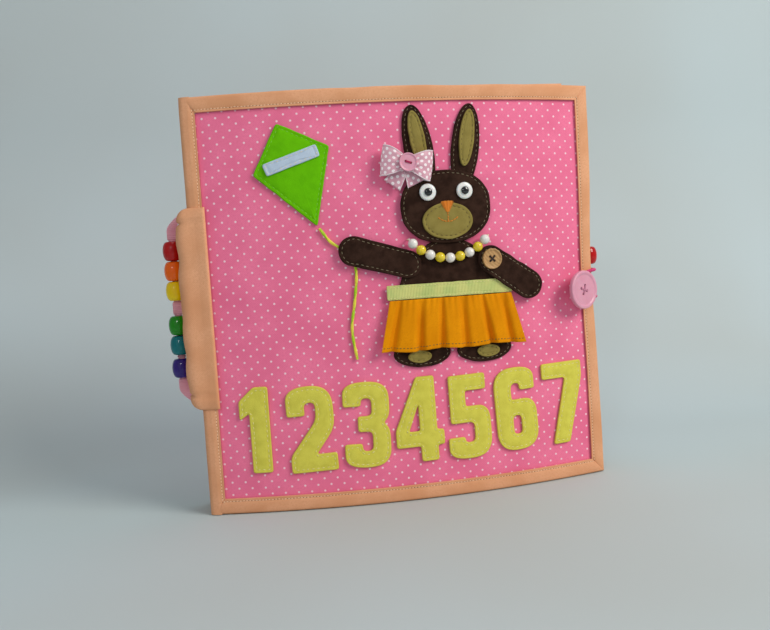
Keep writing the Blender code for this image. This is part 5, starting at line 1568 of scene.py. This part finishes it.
@dataclass
class Trimmings:
    """Bow, necklace, waistband and skirt."""

    shop: Workshop
    pearls: int = 9
    pearl: float = 5.8 * MM
    pearl_pitch: float = 6.1 * MM
    span: float = 48 * MM
    drop: float = 12 * MM
    band_size: Pair = (76 * MM, 8.5 * MM)
    skirt_length: float = 30 * MM
    skirt_widths: Pair = (74 * MM, 88 * MM)
    folds: Pair = (1.2 * MM, 4.4 * MM)
    pleats: int = 6

    def build(self) -> None:
        """Make the bow, the necklace, the waistband and the skirt."""
        self.bow()
        self.necklace()
        self.waistband()
        self.skirt()

    def bow(self) -> None:
        """A bow of sheer dotted ribbon, pinched under its two-hole button.

        Each loop follows x = L (1 - cos a)/2 and out = D sin a, its width grows from the knot as
        sin(pi x / 2L), and gathers cos(3 pi s) fade out from the knot. Tails lie below.
        """
        across, up = FIGURE_ACROSS - 22.5 * MM, HEAD_TOP + 4.25 * MM
        s, a = np.linspace(-1, 1, 25), np.linspace(0, tau, 44)[:, None]
        sheets, edges = [], []

        def laid(x: Array, z: Array, out: Array) -> Array:
            """Turn the bow's own directions into places on the cover."""
            flat = joined(x, z) @ spun(radians(-9))
            return FRONT.place(across + flat[..., 0], up + flat[..., 1], THIRD + out)

        for sign in (-1, 1):
            reach = (1 - np.cos(a)) / 2
            wide = 8.5 * MM * (0.38 + 0.62 * np.sin(pi / 2 * reach) ** 1.3)
            out = 2.6 * MM + 2.42 * MM * np.sin(a) * np.sin(pi * reach).clip(0) ** 0.5
            gather = 0.55 * MM * np.cos(3 * pi * s) * (1 - reach) ** 1.5
            x = sign * (15 * MM * reach - 0.6 * MM * s ** 2 * reach)
            points = laid(x, wide * s, out + gather)
            sheets.append(grid(points[:, ::sign], joined(a * 7 * MM, s * 8.5 * MM)[:, ::sign]))
            edges += [tube_patch(points[:, k], 0.35 * MM, 6) for k in (0, -1)]
        t = np.linspace(0, 1, 16)[:, None]
        for sign, angle, length in ((-1, -118, 15 * MM), (1, -58, 13 * MM)):
            wide = 5.2 * MM * (0.45 + 0.55 * t)
            flat = joined(length * t, wide * s) @ spun(radians(angle))
            out = 0.5 * MM + 0.7 * MM * (1 + np.sin(4 * t + s * sign)) / 2 + 0.5 * MM * (1 - t)
            points = laid(flat[..., 0], flat[..., 1], out)
            sheets.append(grid(points, joined(length * t, wide * s)))
            edges += [tube_patch(points[:, k], 0.3 * MM, 6) for k in (0, -1)]
        self.shop.sew("bow_loops", stacked(sheets), ORGANZA, "front", "pink_ribbon", ["bow_ribbon"], 70,
                      cloth=0.18 * MM)
        self.shop.sew("bow_edges", stacked(edges), SATIN, "front", "pink_ribbon", sharp=70)
        tip = (cos(radians(70)), 0, sin(radians(70)))
        where = (FRONT.place(across, up, THIRD + 5 * MM + GAP), FRONT.normal(across), tip)
        button = sewing_button(5.25 * MM, 2 * MM, 1.2 * MM, 0.5 * MM, 0.7 * MM, 3 * MM, 2, 1)
        self.shop.sew("bow_button_disc", moved(button, *where), PINK_PLASTIC, "front", "pink_plastic",
                      ["bow_button"], 40, weld=True)
        bar = thread_bar(np.array([-1.5 * MM, 0]), np.array([1.5 * MM, 0]), 1.5 * MM, 0.6 * MM, 5 * MM)
        self.shop.sew("bow_button_thread", moved(bar, *where), PINK_THREAD, "front")

    @property
    def arc_radius(self) -> float:
        """Radius of the necklace's arc, from its span and drop."""
        return (self.span ** 2 / 4 + self.drop ** 2) / (2 * self.drop)

    def arc(self, distance: Array | float) -> Array:
        """Places on the necklace's arc, by distance along it from its lowest point."""
        angle = np.asarray(distance) / self.arc_radius
        up = BODY_TOP - self.drop + self.arc_radius * (1 - np.cos(angle))
        return FRONT.place(FIGURE_ACROSS + self.arc_radius * np.sin(angle), up, SECOND + self.pearl / 2)

    def necklace(self) -> None:
        """Pearls on a thread that goes back through the cover at both ends."""
        radius, bore = self.pearl / 2, 0.5 * MM
        start = asin(bore / radius)
        angle = np.linspace(start, pi - start, 22)
        profile = joined(radius * np.sin(angle), radius * np.cos(angle))
        profile = np.vstack([profile, (bore * 0.8, -radius * 0.9), (bore * 0.8, radius * 0.9), profile[:1]])
        for index in range(self.pearls):
            at = (index - (self.pearls - 1) / 2) * self.pearl_pitch
            before, after = self.arc(at - self.pearl_pitch / 2), self.arc(at + self.pearl_pitch / 2)
            finish, slot = (YELLOW_PEARL, "yellow_plastic") if index % 2 else (WHITE_PEARL, "white_plastic")
            pearl = moved(turned_patch(profile, 36), (before + after) / 2, after - before)
            self.shop.sew(f"necklace_pearl_{index + 1}", pearl, finish, "necklace", slot,
                          [f"pearl_{index + 1}"], 60)
        half = self.arc_radius * asin(self.span / 2 / self.arc_radius)
        line = self.arc(np.linspace(-half, half, 60))
        sink = np.array([0, SECOND + self.pearl / 2 - FIRST, 0])
        line = np.vstack([line[:1] + sink, line, line[-1:] + sink])
        self.shop.sew("necklace_cord", tube_patch(line, 0.4 * MM, 8), CREAM_THREAD, "necklace",
                      nodes=["necklace_thread"])

    def waistband(self) -> None:
        """A grosgrain band with a line of stitches along its top and bottom."""
        width, height = self.band_size
        corners = np.array([(-0.5, 0), (0.5, 0), (0.5, 1), (-0.5, 1)]) * (width, height)
        outline = softened(resampled(corners + (FIGURE_ACROSS, WAIST), 240), 1)
        band = felt_patch(FRONT, outline, SECOND, 1 * MM, 30, groove=0.12 * MM, puff=0.05 * MM)
        self.shop.sew("waistband_ribbon", band, GROSGRAIN, "front", "grosgrain", ["waistband"], 60)
        stitches = []
        for seed, up in enumerate((1.1 * MM, height - 1.1 * MM)):
            line = joined(FIGURE_ACROSS + np.linspace(-1, 1, 100) * (width / 2 - 1 * MM), WAIST + up)
            stitches.append(running_stitch(FRONT, line, SECOND + 1 * MM, 2.2 * MM, 1.5 * MM, 0.35 * MM, seed,
                                           closed=False))
        self.shop.sew("waistband_stitches", stacked(stitches), YELLOW_THREAD, "front")

    def skirt(self) -> None:
        """The gathered skirt: broad flat pleats with narrow valleys, which lean and widen to the hem.

        Height is fold * (1 - |cos(pi n share)|^9) plus a slow wave, fold grows from the waist to the
        hem, and the hem's own edge rises and falls with the pleats. Small gathers show at the waist.
        """
        columns = 50 * self.pleats
        down, share = np.linspace(0, 1, 40)[:, None], np.linspace(0, 1, columns)[None]
        lean = share + 0.012 * np.sin(tau * (share * 2.3 + 0.1)) * down
        wave = 1 - np.abs(np.cos(pi * self.pleats * (lean + 0.5 / self.pleats))) ** 9
        wave = wave * (1 + 0.16 * np.sin(tau * (share * 3.7 + 0.4)) * down)
        fold = self.folds[0] + (self.folds[1] - self.folds[0]) * down ** 0.8
        gathers = 0.28 * MM * np.sin(tau * self.pleats * 3.5 * share) * np.exp(-down * 5)
        width = self.skirt_widths[0] + (self.skirt_widths[1] - self.skirt_widths[0]) * down
        hem = 0.5 * MM * np.sin(tau * (share * 2.6 + 0.2)) * down
        up = WAIST - GAP - (self.skirt_length - 0.6 * MM) * down + hem
        out = SECOND + 0.5 * MM + np.clip(fold * wave * 0.92 + gathers, 0, None)
        points = FRONT.place(FIGURE_ACROSS + width * (share - 0.5), up, out)
        run = np.array([run_along(row) for row in points])
        piece = self.shop.sew("skirt_cloth", grid(points, joined(run, (1 - down) * self.skirt_length)),
                              SKIRT_COTTON, "skirt", "orange_cotton", ["skirt"], 80, cloth=0.35 * MM)
        normal = unit(np.cross(np.gradient(points, axis=1), np.gradient(points, axis=0))[-4])
        normal *= -np.sign(normal[:, 1:2])
        line = points[-4] + normal * 0.2 * MM
        total = run_along(line)
        index = np.searchsorted(total, np.arange(1 * MM, total[-1] - 1 * MM, 2.1 * MM))
        ahead = unit(line[np.clip(index + 2, 0, columns - 1)] - line[index - 2])
        stitches = stitch_patch(line[index], ahead, normal[index], 1.4 * MM, 0.4 * MM)
        hem_stitch = self.shop.sew("skirt_hem_stitches", stitches, DARK_THREAD, "skirt")


@dataclass
class Kite:
    """The felt kite with its pale strip, and its line."""

    rabbit: Rabbit
    centre: Pair = (0.24 * PANEL_WIDTH, 200.68 * MM)
    size: Pair = (46 * MM, 62 * MM)
    shoulder: float = 0.36
    lean: float = radians(18)
    strip_width: float = 7 * MM
    tail: float = 62 * MM

    def build(self) -> None:
        """Make the kite, its strip and its line, all but the line with the rabbit's felt method."""
        (width, length), turn = self.size, spun(self.lean)
        corners = np.array([(0, -length * (1 - self.shoulder)), (width / 2, 0), (0, length * self.shoulder),
                            (-width / 2, 0)])
        outline = softened(resampled(corners, 200), 3) @ turn + self.centre
        self.rabbit.felt("kite", outline, FIRST, "kite_felt", 20, GREEN_FELT, GREEN_THREAD)
        half = (width / 2 - self.strip_width, self.strip_width / 2)
        strip = resampled(np.array([(-1, -1), (1, -1), (1, 1), (-1, 1)]) * half, 160)
        self.rabbit.felt("kite_band", softened(strip, 6) @ turn + self.centre, SECOND, "kite_strip", 21,
                         BLUE_FELT, CREAM_THREAD, inset_by=1.3 * MM)
        self.line(corners[0] @ turn + self.centre)

    def line(self, tip: Array) -> None:
        """The two-colour line: from the tip, under the raised paw, then hanging down the cover."""
        paw = np.array([FIGURE_ACROSS - SHOULDER_SPREAD, SHOULDER_UP]) + (
            ARM_LENGTH * cos(RAISED), ARM_LENGTH * sin(RAISED))
        bend, run = 2 * LINE_DIAMETER, paw - tip
        flat = np.array([
            (tip[0] + bend / 4, tip[1] - LINE_DIAMETER / 2 - GAP),
            (tip[0] + run[0] * 0.35, tip[1] + run[1] * 0.60), (tip[0] + run[0] * 0.72, paw[1] + bend / 3),
            (paw[0] - bend / 4, paw[1] - bend / 2),
            (paw[0] + bend / 4, paw[1] - self.tail * 0.20), (paw[0] - bend / 4, paw[1] - self.tail * 0.45),
            (paw[0] - bend, paw[1] - self.tail * 0.72), (paw[0] - bend / 2, paw[1] - self.tail)])
        line = smooth_route(FRONT.place(*flat.T, FIRST + LINE_DIAMETER / 2), 0.9 * MM)
        length = float(run_along(line)[-1])
        tube = tube_patch(line, LINE_DIAMETER / 2, 20, lobes=0.25, twist=14 * MM)
        piece = self.rabbit.shop.sew("kite_line_cord", tube, LINE_CORD, "front", "line_cord",
                                     ["kite_line"], 70)
        LOG.info("kite line %.4f m", length)


def rounded_loop(corners: Array, steps: int = 9) -> Array:
    """Round a closed polygon's corners with quadratic curves (1-t)^2 a + 2t(1-t) corner + t^2 b.

    Args:
        corners: x, y and how far the rounding reaches along both edges, for each corner.
        steps: points on each rounding.

    Returns:
        The rounded loop's points.
    """
    here, reach = corners[:, :2], corners[:, 2:]
    a, b = (here + unit(line) * np.minimum(reach, np.linalg.norm(line, axis=1, keepdims=True) * 0.49)
            for line in (np.roll(here, 1, 0) - here, np.roll(here, -1, 0) - here))
    t = np.linspace(0, 1, steps)[None, :, None]
    return ((1 - t) ** 2 * a[:, None] + 2 * t * (1 - t) * here[:, None] + t ** 2 * b[:, None]).reshape(-1, 2)


# Corners of block digits in a box of 26 by 50 mm: across, up, and the reach of the rounding.
DIGIT_CORNERS = {
    1: [[(8.5, 0, 0.8), (19.5, 0, 0.8), (19.5, 50, 0.8), (11.5, 50, 0.8), (3, 42, 0.8), (3, 31, 0.8),
         (8.5, 35, 0.8)]],
    2: [[(0, 0, 0.8), (26, 0, 0.8), (26, 10, 0.8), (14.5, 10, 1.5), (26, 25, 6), (26, 50, 12.5), (0, 50, 12.5),
         (0, 33, 0.8), (10, 33, 0.8), (10, 40.5, 3), (16, 40.5, 3), (16, 30, 4), (0, 9.5, 3)]],
    3: [[(0, 0, 12), (26, 0, 12), (26, 22, 5), (22.5, 25.7, 1.5), (26, 29.5, 5), (26, 50, 12), (0, 50, 12),
         (0, 36, 0.8), (10, 36, 0.8), (10, 40.5, 2.5), (16, 40.5, 3), (16, 30, 3), (8, 30, 0.8), (8, 21, 0.8),
         (16, 21, 3), (16, 9.5, 3), (10, 9.5, 2.5), (10, 14, 0.8), (0, 14, 0.8)]],
    4: [[(13.5, 0, 0.8), (23.5, 0, 0.8), (23.5, 9, 0.8), (27.5, 9, 0.8), (27.5, 18, 0.8), (23.5, 18, 0.8),
         (23.5, 50, 0.8), (13, 50, 0.8), (-0.5, 19, 1), (-0.5, 9, 0.8), (13.5, 9, 0.8)],
        [(13.5, 18, 0.5), (13.5, 34, 0.5), (7, 18, 0.5)]],
    5: [[(2, 50, 0.8), (24, 50, 0.8), (24, 40.5, 0.8), (11.5, 40.5, 0.8), (11.5, 31, 1), (26, 31, 10),
         (26, 0, 12), (0, 0, 12), (0, 13, 0.8), (10, 13, 0.8), (10, 9.5, 2.5), (16, 9.5, 3), (16, 21.5, 3),
         (2, 21.5, 0.8)]],
    6: [[(0, 0, 12), (26, 0, 12), (26, 30.5, 10), (10.5, 30.5, 1), (10.5, 40.5, 4), (16, 40.5, 2.5),
         (16, 36, 0.8), (25.5, 36, 0.8), (25.5, 50, 12), (0, 50, 12.5)],
        [(10.5, 9.5, 2.5), (15.8, 9.5, 2.5), (15.8, 21, 2.5), (10.5, 21, 2.5)]],
    7: [[(5.5, 0, 0.8), (16.5, 0, 0.8), (27, 40, 2), (27, 50, 0.8), (0, 50, 0.8), (0, 40.5, 0.8),
         (15.5, 40.5, 1.5)]],
}


@dataclass
class Digits:
    """Seven plain digits of pale yellow felt along the bottom of the cover, each stitched near its edges."""

    shop: Workshop
    first: float = 28.4 * MM
    pitch: float = 30.9 * MM
    base: float = 22.5 * MM
    scale: float = 1.03
    step: float = 0.9 * MM

    def build(self) -> None:
        """Make the seven digits, each a little out of line as hand-cut shapes are."""
        draws = np.random.default_rng(11)
        for number in DIGIT_CORNERS:
            lean, rise = draws.normal(0, 1.6) * pi / 180, draws.normal(0, 0.7) * MM
            at = np.array([self.first + self.pitch * (number - 1), self.base + rise])
            loops = [loop @ spun(lean) + at for loop in self.glyph(number)]
            self.shop.sew(f"digit_{number}", self.cut(loops, 50 + number), YELLOW_FELT, "front", None,
                          sharp=60)
            stitches = [running_stitch(FRONT, line, FIRST + FELT - 0.2 * MM, seed=60 + number)
                        for line in (self.shifted(loop, STITCH_INSET) for loop in loops)
                        if run_along(line)[-1] > 12 * MM]
            self.shop.sew(f"digit_{number}_stitches", stacked(stitches), YELLOW_THREAD, "front")

    def glyph(self, number: int) -> list[Array]:
        """Outlines of a digit at even steps, in metres from the middle of its foot.

        Args:
            number: the digit, from 1 to 7.

        Returns:
            The outer loop, which runs anticlockwise, then any inner one, clockwise.
        """
        made = []
        for index, corners in enumerate(DIGIT_CORNERS[number]):
            loop = rounded_loop(np.array(corners) * MM) * (self.scale, 1) - (13 * MM, 0)
            area = np.sum(loop[:, 0] * np.roll(loop[:, 1], -1) - np.roll(loop[:, 0], -1) * loop[:, 1])
            if (area > 0) != (index == 0):
                loop = loop[::-1]
            total = run_along(np.vstack([loop, loop[:1]]))[-1]
            made.append(softened(resampled(loop, int(total / self.step)), 1))
        return made

    @staticmethod
    def shifted(loop: Array, distance: float) -> Array:
        """Move a loop that runs with the felt on its left into the felt, along its smoothed normals."""
        tangent = softened(np.roll(loop, -1, 0) - np.roll(loop, 1, 0), 4)
        return softened(loop + unit(joined(-tangent[:, 1], tangent[:, 0])) * distance, 3)

    def cut(self, loops: list[Array], seed: int) -> Patch:
        """Fill the loops with felt: a constrained triangulation at felt_height by the nearest loop's distance.

        Args:
            loops: the outer loop, then any inner ones.
            seed: seed of the unevenness.

        Returns:
            A closed patch.
        """
        rim_points = np.vstack(loops)
        starts = np.cumsum([0] + [len(loop) for loop in loops])
        follow = np.concatenate([np.roll(np.arange(a, b), -1) for a, b in zip(starts, starts[1:])])
        after = rim_points[follow]
        xs, ys = (np.arange(low, high, self.step) for low, high in zip(rim_points.min(0), rim_points.max(0)))
        seeds = joined(*np.meshgrid(xs, ys))
        seeds[1::2, :, 0] += self.step / 2
        seeds = seeds.reshape(-1, 2)

        def depth_of(points: Array) -> Array:
            """Distance from points to the nearest edge."""
            line = after - rim_points
            share = np.einsum("ijk,jk->ij", points[:, None] - rim_points[None], line) / (line ** 2).sum(1)
            nearest = rim_points + np.clip(share, 0, 1)[..., None] * line
            return np.linalg.norm(points[:, None] - nearest, axis=2).min(1)

        def inside(points: Array) -> Array:
            """Whether points lie in the felt, by counting the edges that a ray to the right crosses."""
            (ax, ay), (bx, by), (px, py) = rim_points.T, after.T, points.T[..., None]
            slope = (bx - ax) / np.where(by == ay, 1e-12, by - ay)
            return (((ay > py) != (by > py)) & (px < ax + (py - ay) * slope)).sum(1) % 2 == 1

        rings = np.vstack([self.shifted(loop, reach) for loop in loops for reach in (0.12 * MM, 0.4 * MM)])
        rings = rings[inside(rings) & (depth_of(rings) > 0.08 * MM)]
        seeds = seeds[inside(seeds) & (depth_of(seeds) > 0.75 * MM)]
        points = np.vstack([rim_points, rings, seeds])
        edges = joined(np.arange(len(follow)), follow)
        made = delaunay_2d_cdt([Vector(p) for p in points.tolist()], edges.tolist(), [], 0, 1e-7)
        flat, tris = np.array([tuple(v) for v in made[0]]), np.array([tuple(t) for t in made[2]])
        used, tris = np.unique(tris[inside(flat[tris].mean(1))], return_inverse=True)
        flat, tris = flat[used], tris.reshape(-1, 3)
        height = felt_height(depth_of(flat), flat, FELT, seed, 0.28 * MM, 0.2 * MM)
        top, under = (FRONT.place(flat[:, 0], flat[:, 1], FIRST + rise) for rise in (height, 0))
        sides = np.vstack([tris[:, [0, 1]], tris[:, [1, 2]], tris[:, [2, 0]]])
        _, first, count = np.unique(np.sort(sides, 1), axis=0, return_index=True, return_counts=True)
        a, b = sides[first[count == 1]].T
        walls = joined(b, a, a + len(flat), b + len(flat))
        return Patch(np.vstack([top, under]), walls, np.vstack([tris, tris[:, ::-1] + len(flat)]),
                     np.vstack([flat, flat])).outward()


@dataclass
class Studio:
    """Pale floor and backdrop, soft light, and the camera at the photograph's angle."""

    lens: float = 37.4
    azimuth: float = radians(-9.40)
    elevation: float = radians(3.83)
    roll: float = radians(-3.73)
    distance: float = 476.6 * MM
    target: tuple[float, float, float] = (110.05 * MM, 0.0, 108.9 * MM)
    cloth: Finish = Sweep("matt white cloth sweep", "c2cfd2", "bdc5c4")

    def build(self) -> None:
        """Set the camera, the lamps, the world and the floor."""
        scene = bpy.context.scene
        scene.view_settings.view_transform = "Standard"
        self.camera(scene)
        self.lamps(scene)
        self.floor()

    def camera(self, scene: bpy.types.Scene) -> None:
        """Stand the camera at its azimuth, elevation and roll, at a distance from the target."""
        across = cos(self.elevation)
        back = Vector((sin(self.azimuth) * across, -cos(self.azimuth) * across, sin(self.elevation)))
        right = Vector((cos(self.azimuth), sin(self.azimuth), 0))
        up, c, s = back.cross(right), cos(self.roll), sin(self.roll)
        turn = Matrix((c * right + s * up, -s * right + c * up, back)).transposed().to_4x4()
        target = Vector(self.target) + Vector((BOOK_LEFT, FRONT_FACE, 0))
        data = bpy.data.cameras.new("camera")
        data.lens, data.sensor_width = self.lens, 36.0
        data.clip_start, data.clip_end = 0.01, 20.0
        made = bpy.data.objects.new("camera", data)
        made.matrix_world = Matrix.Translation(target + back * self.distance) @ turn
        scene.collection.objects.link(made)
        scene.camera = made

    def lamps(self, scene: bpy.types.Scene) -> None:
        """A large window to the upper right, weak lamps from the left and above, and an even pale world."""
        for name, at, size, power, colour in (
                ("window", (0.98, -0.95, 0.92), 0.8, 15.5, "fffaf2"),
                ("fill", (-0.9, -1.3, 0.5), 1.2, 0.8, "f2f4ff"),
                ("glint", (-0.42, -0.95, 0.55), 0.14, 1.1, "ffffff"),
                ("top", (0.2, -0.1, 1.6), 1.0, 3.5, "ffffff")):
            data = bpy.data.lights.new(name, "AREA")
            data.shape, data.size, data.energy = "DISK", size, power
            data.color = linear(colour)[:3]
            lamp = bpy.data.objects.new(name, data)
            aim = Vector((0, -0.02, 0.11)) - Vector(at)
            lamp.matrix_world = Matrix.Translation(at) @ aim.to_track_quat("-Z", "Y").to_matrix().to_4x4()
            scene.collection.objects.link(lamp)
        scene.world = bpy.data.worlds.new("soft daylight")
        scene.world.use_nodes = True
        light = scene.world.node_tree.nodes["Background"].inputs
        light[0].default_value, light[1].default_value = linear("e2e7ee"), 0.36

    def floor(self) -> None:
        """A sweep of matt cloth: flat under the book, then up behind it along a quarter circle."""
        back, radius, turn = 0.38, 0.30, np.linspace(0, pi / 2, 24)
        line = np.vstack([joined(np.linspace(-2.5, back - radius, 10), 0.0),
                          joined(back - radius + radius * np.sin(turn), radius * (1 - np.cos(turn)))[1:],
                          (back, 3.0)])
        points = joined(np.linspace(-3.0, 3.0, 12), line[:, :1], line[:, 1:] - 0.4 * MM)
        sweep = meshed("paper_sweep", grid(points), 60)
        sweep.data.materials.append(self.cloth.make())


def main() -> None:
    """Build every sub-assembly in order."""
    logging.basicConfig(level=logging.INFO, format="%(name)s: %(message)s")
    shop = Workshop()
    Studio().build()
    Cover(shop, FRONT, "front_cover", "front", 1, sides=(1,)).build()
    Cover(shop, BACK, "back_cover", "back", 2).build()
    for number, (leaf, body) in enumerate(zip(LEAVES, ("leaf_front", "leaf_back")), 1):
        Cover(shop, leaf, f"leaf_{number}", body, 2 + number, stitch_pitch=2.6 * MM).build()
    Spine(shop).build()
    Closing(shop).build()
    rabbit = Rabbit(shop)
    rabbit.build()
    Trimmings(shop).build()
    Kite(rabbit).build()
    Digits(shop).build()


if __name__ == "__main__":
    main()
